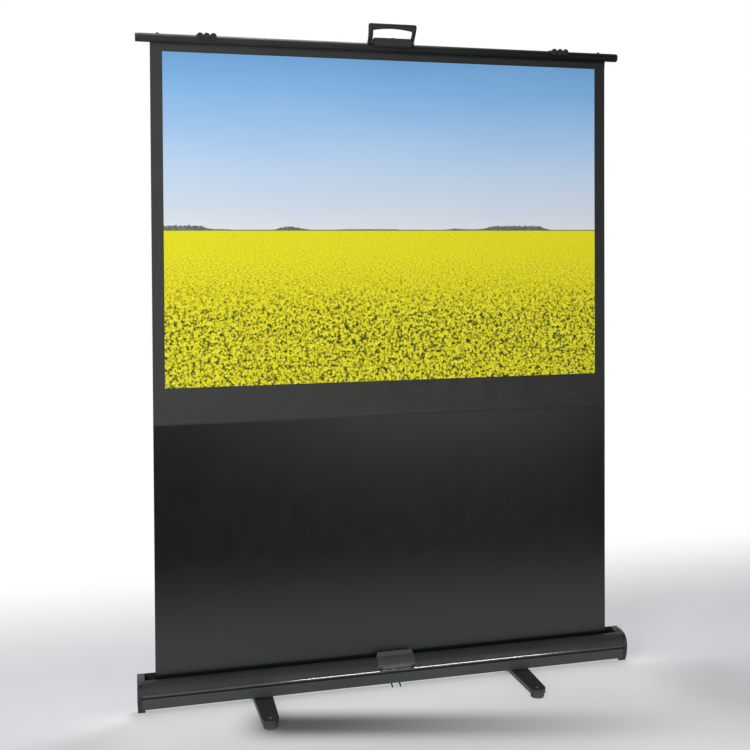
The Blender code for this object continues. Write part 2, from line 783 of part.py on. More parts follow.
def angle_outline():
    """The end view of an angle that stands on the casing floor, with its upright behind the arms."""
    foot = CASING_INSIDE_Z + CLEARANCE
    top = LOWER_PIVOT_Z + BRACKET_TOP_REACH
    front = HANGER_BACK_Y - BRACKET_FLANGE_DEPTH
    bend_y = HANGER_BACK_Y - BRACKET_BEND
    bend_z = foot + BRACKET_BEND
    return [
        (front, foot),
        *arc(bend_y, bend_z, BRACKET_BEND, BRACKET_BEND, -90, 0, FILLET_STEPS),
        (HANGER_BACK_Y, top),
        (HANGER_FRONT_Y, top),
        (HANGER_FRONT_Y, foot + HANGER_THICKNESS),
        (front, foot + HANGER_THICKNESS),
    ]


def slot_cutter(name, z):
    """The cutter of a track's slot, as long as a glide travels."""
    outline = capsule(RIGHT_PIVOT_X, RIGHT_PIVOT_X + SLIDE_TRAVEL, z, GLIDE_RADIUS + CLEARANCE)
    return extruded(name, outline, "Y", HANGER_FRONT_Y - OVERRUN, HANGER_BACK_Y + OVERRUN)


def add_casing_fittings():
    """The fixed lower pivot on the left, and the track for the sliding arm end on the right."""
    bracket = extruded(
        "lower_pivot_bracket",
        angle_outline(),
        "X",
        LEFT_PIVOT_X - BRACKET_HALF_WIDTH,
        LEFT_PIVOT_X + BRACKET_HALF_WIDTH,
        "zinc",
    )
    hole = rod(
        "lower_pivot_cutter",
        RIVET_RADIUS + CLEARANCE,
        "Y",
        LEFT_PIVOT_X,
        LOWER_PIVOT_Z,
        HANGER_FRONT_Y - OVERRUN,
        HANGER_BACK_Y + OVERRUN,
    )
    shape(bracket, "DIFFERENCE", [hole])
    pivot_pin("lower_pivot_pin", LEFT_PIVOT_X, 0, FRONT_ARM_Y)
    track = extruded("lower_track", angle_outline(), "X", TRACK_START_X, TRACK_END_X, "zinc")
    shape(track, "DIFFERENCE", [slot_cutter("lower_slot_cutter", LOWER_PIVOT_Z)])


def add_top_tube():
    """The round top tube with its end plugs, the hem batten under it and the rivets on top."""
    half_length = TUBE_HALF_LENGTH - PLUG_CAP - CLEARANCE
    bore = TUBE_RADIUS - TUBE_WALL
    tube = pipe("top_tube", TUBE_RADIUS, bore, "X", TUBE_Y, TUBE_Z, -half_length, half_length, "black_paint")
    holes = [
        rod(
            f"nub_cutter_{name}",
            NUB_SHANK_RADIUS + CLEARANCE,
            "Z",
            side * NUB_X,
            TUBE_Y,
            TUBE_Z + bore / 2,
            TUBE_Z + TUBE_RADIUS + OVERRUN,
        )
        for name, side in SIDES.items()
    ]
    shape(tube, "DIFFERENCE", holes)
    carry(tube, "top_bar")
    insert = bore - CLEARANCE
    for name, side in SIDES.items():
        start = half_length - PLUG_DEPTH
        seat = half_length + CLEARANCE
        end = TUBE_HALF_LENGTH
        profile = [
            (0, start),
            (insert, start),
            (insert, seat),
            (TUBE_RADIUS, seat),
            (TUBE_RADIUS, end - PLUG_CHAMFER),
            (TUBE_RADIUS - PLUG_CHAMFER, end),
            (0, end),
        ]
        profile = [(radius, side * place) for radius, place in profile]
        plug = turned(f"tube_plug_{name}", profile, "X", TUBE_Y, TUBE_Z, "black_plastic", ROUND_STEPS)
        carry(plug, "top_bar")
    batten_top = TUBE_Z - TUBE_RADIUS - CLEARANCE
    outline = rounded(
        rectangle(
            TUBE_Y - BATTEN_DEPTH / 2,
            TUBE_Y + BATTEN_DEPTH / 2,
            batten_top - BATTEN_HEIGHT,
            batten_top,
        ),
        BATTEN_ROUND,
    )
    batten = extruded("hem_batten", outline, "X", -CLOTH_HALF_WIDTH, CLOTH_HALF_WIDTH, "black_paint")
    carry(batten, "top_bar")


def add_nub(name, side):
    """The domed rivet on top of the tube."""
    seat = TUBE_Z + TUBE_RADIUS + CLEARANCE
    profile = [
        (0, TUBE_Z + TUBE_RADIUS - NUB_SHANK_DEPTH),
        (NUB_SHANK_RADIUS, TUBE_Z + TUBE_RADIUS - NUB_SHANK_DEPTH),
        (NUB_SHANK_RADIUS, seat),
        (NUB_RADIUS, seat),
        *arc(0, seat + CLEARANCE, NUB_RADIUS, NUB_HEIGHT - CLEARANCE, 0, 90, FILLET_STEPS),
    ]
    carry(turned(name, profile, "Z", side * NUB_X, TUBE_Y, "black_paint"), "top_bar")


def saddle_outline():
    """The end view of a band that goes over the tube and down behind the arms."""
    outer = SADDLE_RADIUS
    inner = TUBE_RADIUS + CLEARANCE
    bottom = TOP_PIVOT_Z - HANGER_DROP
    back_top = rounded(
        [
            (TUBE_Y, TUBE_Z + outer),
            (HANGER_BACK_Y, TUBE_Z + outer),
            (HANGER_BACK_Y, bottom),
            (HANGER_FRONT_Y, bottom),
        ],
        SADDLE_BACK_ROUND,
    )[FILLET_STEPS + 1 : 2 * FILLET_STEPS + 2]
    over = arc(TUBE_Y, TUBE_Z, outer, outer, 180, 90, PIN_STEPS // 2)
    under = arc(TUBE_Y, TUBE_Z, inner, inner, 0, 180, PIN_STEPS)
    return [
        (TUBE_Y - outer, TUBE_Z - SADDLE_SKIRT),
        *over,
        *back_top,
        (HANGER_BACK_Y, bottom),
        (HANGER_FRONT_Y, bottom),
        (HANGER_FRONT_Y, TUBE_Z),
        *under,
        (TUBE_Y - inner, TUBE_Z - SADDLE_SKIRT),
    ]


def add_rosettes(name, x):
    """Three round screw caps side by side on a saddle's front, joined to it."""
    seat = TUBE_Y - SADDLE_RADIUS
    front = seat - ROSETTE_HEIGHT
    rim = ROSETTE_RADIUS - ROSETTE_RIM
    profile = [
        (0, seat + SADDLE_THICKNESS / 2),
        (ROSETTE_RADIUS, seat + SADDLE_THICKNESS / 2),
        (ROSETTE_RADIUS, front + ROSETTE_RECESS / 2),
        (ROSETTE_RADIUS - ROSETTE_RIM / 2, front),
        (rim, front),
        (rim, front + ROSETTE_RECESS),
        (ROSETTE_CENTRE_RADIUS, front + ROSETTE_RECESS),
        (ROSETTE_CENTRE_RADIUS, front),
        (0, front),
    ]
    return [
        turned(
            f"rosette_{name}_{place}",
            profile,
            "Y",
            x + place * ROSETTE_SPACING,
            TUBE_Z + TUBE_RADIUS - ROSETTE_DROP,
            steps=ROSETTE_STEPS,
        )
        for place in (-1, 0, 1)
    ]


def add_saddle(name, side):
    """A band over the top tube, with a plate behind it that comes down to the top pivots."""
    x = side * SADDLE_X
    return extruded(
        name,
        saddle_outline(),
        "X",
        x - SADDLE_HALF_WIDTH,
        x + SADDLE_HALF_WIDTH,
        "black_paint",
    )


def add_saddles():
    """The left saddle holds the top pivot. The right one holds the rail for the sliding arm end."""
    left = add_saddle("saddle_left", -1)
    hole = rod(
        "top_pivot_cutter",
        RIVET_RADIUS + CLEARANCE,
        "Y",
        LEFT_PIVOT_X,
        TOP_PIVOT_Z,
        HANGER_FRONT_Y - OVERRUN,
        HANGER_BACK_Y + OVERRUN,
    )
    shape(left, "DIFFERENCE", [hole])
    shape(left, "UNION", add_rosettes("left", -SADDLE_X))
    carry(left, "top_bar")
    carry(pivot_pin("top_pivot_pin", LEFT_PIVOT_X, STAGES, REAR_ARM_Y), "top_bar")
    right = add_saddle("upper_rail", 1)
    plate = extruded(
        "rail_plate",
        rectangle(
            HANGER_FRONT_Y,
            HANGER_BACK_Y,
            TOP_PIVOT_Z - HANGER_DROP,
            TOP_PIVOT_Z + HANGER_DROP,
        ),
        "X",
        TRACK_START_X,
        PARKED_REACH + GLIDE_RADIUS + RAIL_END_MARGIN,
    )
    shape(right, "UNION", [plate, *add_rosettes("right", SADDLE_X)])
    shape(right, "DIFFERENCE", [slot_cutter("upper_slot_cutter", TOP_PIVOT_Z)])
    carry(right, "top_bar")
    for name, side in SIDES.items():
        add_nub(f"nub_{name}", side)


def base_outline():
    """The end view of the handle's base: a block on the tube, with a pocket below that clears the latch's lip."""
    inner = TUBE_RADIUS + CLEARANCE
    front = TUBE_Y - BASE_FRONT_REACH
    pocket_back = TUBE_Y - inner - BASE_POCKET_SEAT
    back = TUBE_Y + BASE_BACK_REACH
    bottom = TUBE_Z + TUBE_RADIUS - BASE_DROP
    seat_start = math.degrees(math.acos(BASE_BACK_REACH / inner))
    seat_end = 180 - math.degrees(math.asin((bottom - TUBE_Z) / inner))
    return [
        (pocket_back, bottom),
        (pocket_back, bottom + BASE_POCKET_DEPTH),
        (front + BASE_WALL, bottom + BASE_POCKET_DEPTH),
        (front + BASE_WALL, bottom),
        (front, bottom),
        (front, BASE_TOP_Z),
        (back - BASE_BACK_STEP, BASE_TOP_Z),
        (back, BASE_TOP_Z - BASE_BACK_STEP),
        *arc(TUBE_Y, TUBE_Z, inner, inner, seat_start, seat_end, PIN_STEPS),
    ]


def add_handle_base():
    """The block under the carrying handle, with a small catch on its top and the hinge pins' holes."""
    base = extruded(
        "handle_base",
        base_outline(),
        "X",
        -BASE_HALF_WIDTH,
        BASE_HALF_WIDTH,
        "black_plastic",
    )
    bevel(base, BASE_BEVEL)
    catch = extruded(
        "base_catch",
        rectangle(
            TUBE_Y - BASE_FRONT_REACH + BASE_BEVEL * 2,
            TUBE_Y,
            BASE_TOP_Z - OVERRUN,
            BASE_TOP_Z + BASE_LIP_HEIGHT,
        ),
        "X",
        -BASE_LIP_HALF_WIDTH,
        BASE_LIP_HALF_WIDTH,
    )
    shape(base, "UNION", [catch])
    holes = [
        rod(
            f"handle_pin_cutter_{name}",
            HANDLE_PIN_RADIUS + CLEARANCE,
            "X",
            HINGE_Y,
            HINGE_Z,
            side * (BASE_HALF_WIDTH - HANDLE_PIN_BITE - OVERRUN),
            side * (BASE_HALF_WIDTH + OVERRUN),
        )
        for name, side in SIDES.items()
    ]
    shape(base, "DIFFERENCE", holes)
    return carry(base, "top_bar")


def bail_ring(outer, inner, depth):
    """One round cornered ring of the bail, between a point of its outer edge and one of its inner edge."""
    outer, inner = Vector((outer[0], 0, outer[1])), Vector((inner[0], 0, inner[1]))
    half = (outer - inner) / 2
    centre = (outer + inner) / 2
    centre.y = bail_y(centre.z)
    points = []
    for step in range(BAIL_RING_STEPS):
        angle = FULL_TURN * (step + 1 / 2) / BAIL_RING_STEPS
        cosine, sine = math.cos(angle), math.sin(angle)
        flatten = max(abs(cosine), abs(sine)) ** -(1 / 2)
        points.append(centre + half * (cosine * flatten) + Vector((0, depth / 2 * sine * flatten, 0)))
    return points


def bail_y(z):
    """Where the bail's middle is at a height: it curves forward from its hinge up to its grip."""
    share = min(max((z - HINGE_Z) / (BAIL_TOP_Z - BAIL_GRIP_THICKNESS - HINGE_Z), 0), 1)
    return HINGE_Y + (BAIL_TOP_Y - HINGE_Y) * math.sin(share * math.pi / 2)


def bail_stations():
    """Half of the bail: (outer point, inner point, depth) from the right hinge to the middle of the grip."""
    ear_inner = BASE_HALF_WIDTH + BAIL_SIDE_GAP
    ear_outer = ear_inner + BAIL_EAR_THICKNESS
    leg_inner = BAIL_HALF_WIDTH - BAIL_LEG_WIDTH
    grip_low_z = BAIL_TOP_Z - BAIL_GRIP_THICKNESS - BAIL_GRIP_DROP
    outer_x = BAIL_HALF_WIDTH - BAIL_CORNER
    outer_z = BAIL_TOP_Z - BAIL_CORNER
    inner_x = leg_inner - BAIL_FILLET
    inner_z = grip_low_z - BAIL_FILLET
    leg = []
    for step in range(BAIL_LEG_STATIONS):
        share = step / BAIL_LEG_STATIONS
        swell = math.sin(share * share * math.pi / 2)
        outer = (ear_outer + (BAIL_HALF_WIDTH - ear_outer) * swell, HINGE_Z + (outer_z - HINGE_Z) * share)
        inner = (ear_inner + (leg_inner - ear_inner) * swell, HINGE_Z + (inner_z - HINGE_Z) * share)
        leg.append((outer, inner, BAIL_DEPTH))
    outer_corner = arc(outer_x, outer_z, BAIL_CORNER, BAIL_CORNER, 0, 90, BAIL_CORNER_STEPS)
    inner_corner = arc(inner_x, inner_z, BAIL_FILLET, BAIL_FILLET, 0, 90, BAIL_CORNER_STEPS)
    corner = [(outer, inner, BAIL_DEPTH) for outer, inner in zip(outer_corner, inner_corner)]
    grip = []
    for step in range(BAIL_GRIP_STATIONS):
        share = 1 - (step + 1) / BAIL_GRIP_STATIONS
        low_z = BAIL_TOP_Z - BAIL_GRIP_THICKNESS - BAIL_GRIP_DROP * share * share
        grip.append(((outer_x * share, BAIL_TOP_Z), (inner_x * share, low_z), BAIL_DEPTH))
    return leg + corner + grip


def add_handle_bail():
    """The carrying handle: a round cornered bail with an ear at each hinge."""
    right = bail_stations()
    left = [((-u, v), (-p, q), depth) for (u, v), (p, q), depth in reversed(right[:-1])]
    bail = lofted("handle_bail", [bail_ring(*station) for station in right + left], "black_plastic")
    ears = []
    holes = []
    for name, side in SIDES.items():
        inner = BASE_HALF_WIDTH + BAIL_SIDE_GAP
        outer = inner + BAIL_EAR_THICKNESS
        ears.append(
            rod(
                f"bail_ear_{name}",
                BAIL_EAR_RADIUS,
                "X",
                HINGE_Y,
                HINGE_Z,
                side * inner,
                side * outer,
                steps=ROUND_STEPS,
            )
        )
        holes.append(
            rod(
                f"bail_hole_{name}",
                HANDLE_PIN_RADIUS + CLEARANCE,
                "X",
                HINGE_Y,
                HINGE_Z,
                side * (inner - OVERRUN),
                side * (outer + OVERRUN),
            )
        )
    shape(bail, "UNION", ears)
    shape(bail, "DIFFERENCE", holes)
    return carry(bail, "handle")


def add_handle_pin(name, side):
    """The headed pin through one of the bail's ears into the base."""
    tip = BASE_HALF_WIDTH - HANDLE_PIN_BITE
    seat = BASE_HALF_WIDTH + BAIL_SIDE_GAP + BAIL_EAR_THICKNESS + CLEARANCE
    profile = [
        (0, tip),
        (HANDLE_PIN_RADIUS, tip),
        (HANDLE_PIN_RADIUS, seat),
        (HANDLE_PIN_HEAD_RADIUS, seat),
        (HANDLE_PIN_HEAD_RADIUS, seat + HANDLE_PIN_HEAD_HEIGHT),
        (0, seat + HANDLE_PIN_HEAD_HEIGHT),
    ]
    profile = [(radius, side * place) for radius, place in profile]
    return carry(turned(f"handle_pin_{name}", profile, "X", HINGE_Y, HINGE_Z, "zinc"), "top_bar")


def latch_hinge():
    """The latch's hinge axis, a barrel's radius off the casing just above its waist."""
    skin = offset_path(front_curve(0, LATCH_FOOT_ANGLE * 2), LATCH_BARREL_RADIUS + LATCH_SKIN_GAP)
    return skin[len(skin) // 2]


def latch_outline(start):
    """The end view of the latch plate: over the casing's front curve, then up into a leaning lip."""
    skin = front_curve(start, LATCH_TOP_ANGLE)
    foot_y, foot_z = skin[-1]
    lip = (foot_y + LATCH_LIP_LEAN, CASING_FRONT_Z + LATCH_LIP_RISE)
    path = offset_path(skin, LATCH_SKIN_GAP) + [lip]
    return path[::-1] + offset_path(path, LATCH_THICKNESS)


def add_latch():
    """The sprung catch that holds the lowered top bar: its plate, hinge pin and lugs."""
    hinge_y, hinge_z = latch_hinge()
    plate = extruded(
        "latch_plate",
        latch_outline(LATCH_SHOULDER_ANGLE),
        "X",
        -LATCH_HALF_WIDTH,
        LATCH_HALF_WIDTH,
        "black_plastic",
    )
    tongue = extruded(
        "latch_tongue",
        latch_outline(LATCH_FOOT_ANGLE),
        "X",
        -LATCH_TONGUE_HALF_WIDTH,
        LATCH_TONGUE_HALF_WIDTH,
    )
    barrel = rod(
        "latch_barrel",
        LATCH_BARREL_RADIUS,
        "X",
        hinge_y,
        hinge_z,
        -LATCH_TONGUE_HALF_WIDTH + OVERRUN,
        LATCH_TONGUE_HALF_WIDTH - OVERRUN,
    )
    shape(plate, "UNION", [tongue, barrel])
    bore = rod(
        "latch_bore_cutter",
        LATCH_PIN_RADIUS + CLEARANCE,
        "X",
        hinge_y,
        hinge_z,
        -LATCH_HALF_WIDTH,
        LATCH_HALF_WIDTH,
    )
    shape(plate, "DIFFERENCE", [bore])
    carry(plate, "latch")
    lug_start = LATCH_TONGUE_HALF_WIDTH + CLEARANCE
    lug_end = lug_start + LATCH_LUG_WIDTH
    for name, side in SIDES.items():
        lug = rod(
            f"latch_lug_{name}",
            LATCH_BARREL_RADIUS,
            "X",
            hinge_y,
            hinge_z,
            side * lug_start,
            side * lug_end,
            "black_paint",
        )
        hole = rod(
            f"latch_lug_cutter_{name}",
            LATCH_PIN_RADIUS + CLEARANCE,
            "X",
            hinge_y,
            hinge_z,
            side * (lug_start - OVERRUN),
            side * (lug_end + OVERRUN),
        )
        shape(lug, "DIFFERENCE", [hole])
    head_start = lug_end + CLEARANCE
    head_end = head_start + LATCH_PIN_HEAD_HEIGHT
    turned(
        "latch_pin",
        [
            (0, -head_end),
            (LATCH_PIN_HEAD_RADIUS, -head_end),
            (LATCH_PIN_HEAD_RADIUS, -head_start),
            (LATCH_PIN_RADIUS, -head_start),
            (LATCH_PIN_RADIUS, head_start),
            (LATCH_PIN_HEAD_RADIUS, head_start),
            (LATCH_PIN_HEAD_RADIUS, head_end),
            (0, head_end),
        ],
        "X",
        hinge_y,
        hinge_z,
        "zinc",
    )


def add_hanging_wire():
    """The bent wire under the casing, whose two prongs show in front."""
    top_z = CASING_BOTTOM_Z - CLEARANCE - WIRE_RADIUS
    half = [(WIRE_TIP_Y, top_z - WIRE_TIP_DROP), (WIRE_BEND_Y, top_z), (WIRE_BACK_Y, top_z)]
    left = [(-WIRE_HALF_WIDTH, y, z) for y, z in half]
    right = [(WIRE_HALF_WIDTH, y, z) for y, z in reversed(half)]
    curve = bpy.data.curves.new("hanging_wire", "CURVE")
    curve.dimensions = "3D"
    curve.bevel_depth = WIRE_RADIUS
    curve.bevel_resolution = 2
    curve.use_fill_caps = True
    spline = curve.splines.new("POLY")
    route = left + right
    spline.points.add(len(route) - 1)
    for point, place in zip(spline.points, route):
        point.co = (*place, 1)
    wire = bpy.data.objects.new("hanging_wire", curve)
    bpy.context.collection.objects.link(wire)
    paint(wire, "zinc")


def foot_outline(x):
    """The top view of a foot: round ends, and straight sides that widen towards its middle."""
    radius = FOOT_WIDTH / 2
    half_middle = FOOT_MIDDLE_WIDTH / 2
    ends = FOOT_REACH - radius
    front = arc(x, -ends, radius, radius, 180 + FOOT_TAPER, 360 - FOOT_TAPER, PIN_STEPS)
    back = arc(x, ends, radius, radius, FOOT_TAPER, 180 - FOOT_TAPER, PIN_STEPS)
    return [*front, (x + half_middle, 0), *back, (x - half_middle, 0)]


def add_foot(name, side):
    """A swivelling foot bar with a boss on top and holes for its bolt and its pads' studs."""
    x = side * FOOT_X
    foot = extruded(f"foot_{name}", foot_outline(x), "Z", FOOT_BOTTOM_Z, FOOT_TOP_Z, "black_paint")
    bevel(foot, FOOT_BEVEL)
    boss = rod(
        f"foot_boss_{name}",
        FOOT_BOSS_RADIUS,
        "Z",
        x,
        0,
        FOOT_TOP_Z - OVERRUN,
        FOOT_TOP_Z + FOOT_BOSS_HEIGHT,
        steps=ROUND_STEPS,
    )
    shape(foot, "UNION", [boss])
    bolt_hole = rod(
        f"foot_bolt_cutter_{name}",
        BOLT_RADIUS + CLEARANCE,
        "Z",
        x,
        0,
        FOOT_BOTTOM_Z,
        CASING_BOTTOM_Z,
    )
    counterbore = rod(
        f"counterbore_cutter_{name}",
        BOLT_HEAD_RADIUS + CLEARANCE,
        "Z",
        x,
        0,
        FOOT_BOTTOM_Z - OVERRUN,
        FOOT_BOTTOM_Z + BOLT_HEAD_HEIGHT + 2 * CLEARANCE,
    )
    stud_holes = [
        rod(
            f"stud_cutter_{name}_{end}",
            STUD_RADIUS + CLEARANCE,
            "Z",
            x,
            direction * PAD_REACH,
            FOOT_BOTTOM_Z - OVERRUN,
            FOOT_TOP_Z + OVERRUN,
        )
        for end, direction in ENDS.items()
    ]
    shape(foot, "DIFFERENCE", [bolt_hole, counterbore, *stud_holes])
    return carry(foot, f"foot_{name}")


def add_foot_bolt(name, side):
    """The bolt that a foot turns on, sunk in the foot and nutted inside the casing."""
    head_top = FOOT_BOTTOM_Z + CLEARANCE + BOLT_HEAD_HEIGHT
    nut_z = CASING_INSIDE_Z + CLEARANCE
    return turned(
        f"foot_bolt_{name}",
        [
            (0, FOOT_BOTTOM_Z + CLEARANCE),
            (BOLT_HEAD_RADIUS, FOOT_BOTTOM_Z + CLEARANCE),
            (BOLT_HEAD_RADIUS, head_top),
            (BOLT_RADIUS, head_top),
            (BOLT_RADIUS, nut_z),
            (NUT_RADIUS, nut_z),
            (NUT_RADIUS, nut_z + NUT_HEIGHT),
            (0, nut_z + NUT_HEIGHT),
        ],
        "Z",
        side * FOOT_X,
        0,
        "zinc",
    )


def add_pad(name):
    """A round levelling pad with a groove, on a stud whose head sits on top of the foot."""
    point, _ = BODIES[name]
    neck_z = PAD_HEIGHT
    collar_z = neck_z + PAD_NECK_HEIGHT
    collar_top = collar_z + PAD_COLLAR_HEIGHT
    head_z = FOOT_TOP_Z + CLEARANCE
    profile = [
        (0, 0),
        (PAD_RADIUS - PAD_CHAMFER, 0),
        (PAD_RADIUS, PAD_CHAMFER),
        (PAD_RADIUS, neck_z - PAD_CHAMFER),
        (PAD_RADIUS - PAD_CHAMFER, neck_z),
        (PAD_NECK_RADIUS, neck_z),
        (PAD_NECK_RADIUS, collar_z),
        (PAD_COLLAR_RADIUS, collar_z),
        (PAD_COLLAR_RADIUS, collar_top),
        (STUD_RADIUS, collar_top),
        (STUD_RADIUS, head_z),
        (STUD_HEAD_RADIUS, head_z),
        (STUD_HEAD_RADIUS, head_z + STUD_HEAD_HEIGHT / 2),
        (STUD_HEAD_RADIUS / 2, head_z + STUD_HEAD_HEIGHT),
        (0, head_z + STUD_HEAD_HEIGHT),
    ]
    return carry(turned(name, profile, "Z", point.x, point.y, "rubber", ROUND_STEPS), name)


# Each moving body's joint point, and the body that carries it
BODIES = {
    "arm_low_front": (lift_point(LEFT_PIVOT_X, 0), None),
    "arm_low_rear": (lift_point(0, 1 / 2), "arm_low_front"),
    "arm_mid_rear": (lift_point(RIGHT_PIVOT_X, 1), "arm_low_front"),
    "arm_mid_front": (lift_point(0, 3 / 2), "arm_mid_rear"),
    "arm_high_front": (lift_point(LEFT_PIVOT_X, 2), "arm_mid_rear"),
    "arm_high_rear": (lift_point(0, 5 / 2), "arm_high_front"),
    "top_bar": (lift_point(LEFT_PIVOT_X, STAGES), "arm_high_rear"),
    "handle": (Vector((0, HINGE_Y, HINGE_Z)), "top_bar"),
    "roller": (Vector((0, ROLLER_Y, ROLLER_Z)), None),
    "latch": (Vector((0, *latch_hinge())), None),
}
for side_name, side_sign in SIDES.items():
    BODIES[f"foot_{side_name}"] = (Vector((side_sign * FOOT_X, 0, 0)), None)
    for end_name, end_sign in ENDS.items():
        pad_point = Vector((side_sign * FOOT_X, end_sign * PAD_REACH, 0))
        BODIES[f"pad_{side_name}_{end_name}"] = (pad_point, f"foot_{side_name}")

clear_scene()
bodies = add_bodies()
add_casing_shell()
for side_name, side_sign in SIDES.items():
    add_end_cap(side_name, side_sign)
    add_foot(side_name, side_sign)
    add_foot_bolt(side_name, side_sign)
    add_handle_pin(side_name, side_sign)
    for end_name in ENDS:
        add_pad(f"pad_{side_name}_{end_name}")
add_roller()
add_cloth()
add_casing_fittings()
add_scissor_lift()
add_top_tube()
add_saddles()
add_handle_base()
add_handle_bail()
add_latch()
add_hanging_wire()
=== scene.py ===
"""The looks of a pull up projection screen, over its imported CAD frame.

Metres, +Z up, in the frame's own coordinates: +X to the right and +Y away from someone who faces the picture.
A look is the name of a material in the table of looks, and a piece without one is a tool that cuts or joins.
"""

import json
import math

import bmesh
import bpy
from mathutils import Matrix, Vector


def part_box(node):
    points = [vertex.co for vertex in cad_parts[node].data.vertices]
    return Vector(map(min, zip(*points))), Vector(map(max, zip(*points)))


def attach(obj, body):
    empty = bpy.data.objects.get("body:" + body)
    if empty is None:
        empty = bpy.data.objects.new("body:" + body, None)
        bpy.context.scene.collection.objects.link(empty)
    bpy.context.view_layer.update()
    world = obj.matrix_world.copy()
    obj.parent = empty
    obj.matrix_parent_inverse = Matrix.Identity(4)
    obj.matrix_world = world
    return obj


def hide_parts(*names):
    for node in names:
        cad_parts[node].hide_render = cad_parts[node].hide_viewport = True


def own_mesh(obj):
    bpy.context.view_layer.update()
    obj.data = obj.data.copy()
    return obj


# The photograph's camera
IMAGE_WIDTH = 750
FOCAL_PIXELS = 1046.0
PRINCIPAL_ROW = 272.4
SENSOR_WIDTH = 36.0
CAMERA_PLACE = (-0.746, -2.7616, 1.2015)
CAMERA_YAW = 0.2480
CAMERA_DROP = 0.0189
CAMERA_ROLL = -0.0052

# Facets and edges
FINE_STEPS = 64
SMALL_STEPS = 32
CURVE_STEPS = 24
DOME_STEPS = 8
QUARTER_STEPS = 6
FULL_TURN = 2 * math.pi
SMOOTH_ANGLE = math.radians(35)
MERGE_DISTANCE = 0.000001
OVERRUN = 0.001
GAP = 0.0003
SIDES = {"left": -1, "right": 1}
ENDS = ("front", "back")

# Screw heads, as shares of a head's radius
HEAD_RISE = 0.42
CROSS_REACH = 0.55
CROSS_WIDTH = 0.11
CROSS_DEPTH = 0.45

# Cloth and picture
CLOTH_Y = 0.010
CLOTH_THICKNESS = 0.0006
CLOTH_HALF_WIDTH = 0.6415
PICTURE_HALF_WIDTH = 0.610
PICTURE_LOW_Z = 0.850
PICTURE_HIGH_Z = 1.726
HORIZON_Z = 1.262
CLOTH_COLUMNS = 96
CLOTH_ROWS = 72
BORDER_STEPS = 3
THREADS_PER_METRE = 1400.0
WAVE_STEP = 20
CLOUD_STRETCH = (1.0, 1.0, 2.5)
SKIRT_ROWS = 8
# Painted shade: the skirt is painted black and dull below its mouth mark, fading out by its shade mark
SKIRT_MOUTH_Z = 0.0965
SKIRT_SHADE_Z = 0.1050
# Painted bounce light: the skirt is painted paler from its shade mark up to the next height, for light
# bounced up off the floor
SKIRT_BOUNCE_TOP_Z = 0.42
SKIRT_BOUNCE_SHARE = 0.45
HEM_HEIGHT = 0.0133
HEM_PROUD = 0.0013
HEM_THICKNESS = 0.0004
RIPPLE = 0.0004
RIPPLE_WAVES = ((1.0, 5.1, 2.3, 0.0), (0.6, 11.7, -4.1, 1.3))  # share, radians per metre across and up, start
EDGE_CURL_POWER = 10
EDGE_CURL = 0.0008
WELD_HEIGHT = 0.012
WELD_LAP = 0.002
WELD_PROUD = 0.0005
WELD_GAP = 0.00005
WELD_EDGE = WELD_PROUD / 3

# The landscape. Depths are in metres below the horizon and heights in metres above it. Noises are written
# as scale, detail and roughness, and stops as a place and its colour on a screen
HORIZON_BLUR = 0.0008
FAR_DEPTH = (0.01, 0.10)
NEAR_DEPTH = (0.07, 0.26)
CONTRAST_DEPTH = (0.0, 0.16)
CONTRAST = (0.7, 2.6)
LEVEL_DEPTH = (0.0, 0.30)
LEVEL = (0.71, 0.57)
TREE_CLUMP_HEIGHT = 0.011
TREE_LEAST_HEIGHT = 0.0022
TREE_CROWN_EDGE = (-0.0010, 0.0014)
TREE_FOOT_EDGE = (-0.0018, 0.0004)
TREE_COVER = 0.9
TREE_CLUMPS = (4.3, 1.0)
TREE_CROWNS = (120.0, 3.0)
LEAVES = (160.0, 3.0)
SKY_HAZE = (1.0, 5.0, 0.55)
SKY_HAZE_STRETCH = (2.2, 1.0, 9.0)
FAR_FLOWERS = (300.0, 4.0, 0.65)
MIDDLE_FLOWERS = (190.0, 5.0, 0.68)
NEAR_FLOWERS = (92.0, 6.0, 0.72)
FLOWER_HEADS = 165.0
STALKS = (260.0, 2.0)
SKY_STOPS = (
    (0.0, (222, 226, 231)),
    (0.12, (210, 220, 232)),
    (0.35, (190, 213, 238)),
    (0.58, (162, 199, 237)),
    (0.80, (134, 183, 229)),
    (1.0, (113, 167, 217)),
)
FIELD_STOPS = (
    (0.08, (52, 58, 22)),
    (0.28, (104, 116, 34)),
    (0.42, (172, 168, 32)),
    (0.56, (214, 207, 26)),
    (0.72, (232, 224, 24)),
    (0.95, (242, 236, 82)),
)
TREE_STOPS = ((0.35, (46, 62, 42)), (0.55, (74, 92, 66)), (0.75, (112, 128, 118)))
STALK_COLOUR = (158, 132, 36)

# Roller
ROLLER_AXIS = (-0.0045, 0.066)
WOUND_TURNS = 3
WOUND_INNER_RADIUS = 0.01285
WOUND_OUTER_RADIUS = 0.0142
WOUND_THICKNESS = 0.0004

# Top bar
TUBE_Y = 0.0104
TUBE_Z = 1.7599
TUBE_RADIUS = 0.0115
TUBE_WALL = 0.0012
TUBE_EDGE = 0.0003
PLUG_LENGTH = 0.006
PLUG_DEPTH = 0.016
PLUG_EDGE = 0.0016
PLUG_DISH = 0.55
PLUG_DISH_FLOOR = 0.9
BATTEN_EDGE = 0.0015
NUB_SHANK = 0.36
NUB_HEIGHT = 0.0026
NUB_RIM = 0.0003

# Casing section
FLOOR_Z = 0.0275
FLOOR_HALF_DEPTH = 0.0282
WAIST_Z = 0.0647
HALF_DEPTH = 0.036
FRONT_EDGE = (-0.0106, 0.0972)
BACK_EDGE = (0.0315, 0.100)
FLANK_BOW = 0.0017
BACK_BOW = 0.0006
CASING_WALL = 0.0016
CASING_EDGE = 0.0003
BEAD_LOW = (-0.0369, 0.0630)
BEAD_HIGH = (-0.0361, 0.0673)
BEAD_BOW = 0.00012
COVE_HIGH_Y = -0.0346
COVE_LOW_Z = 0.0566
COVE_LOW_Y = -0.0343

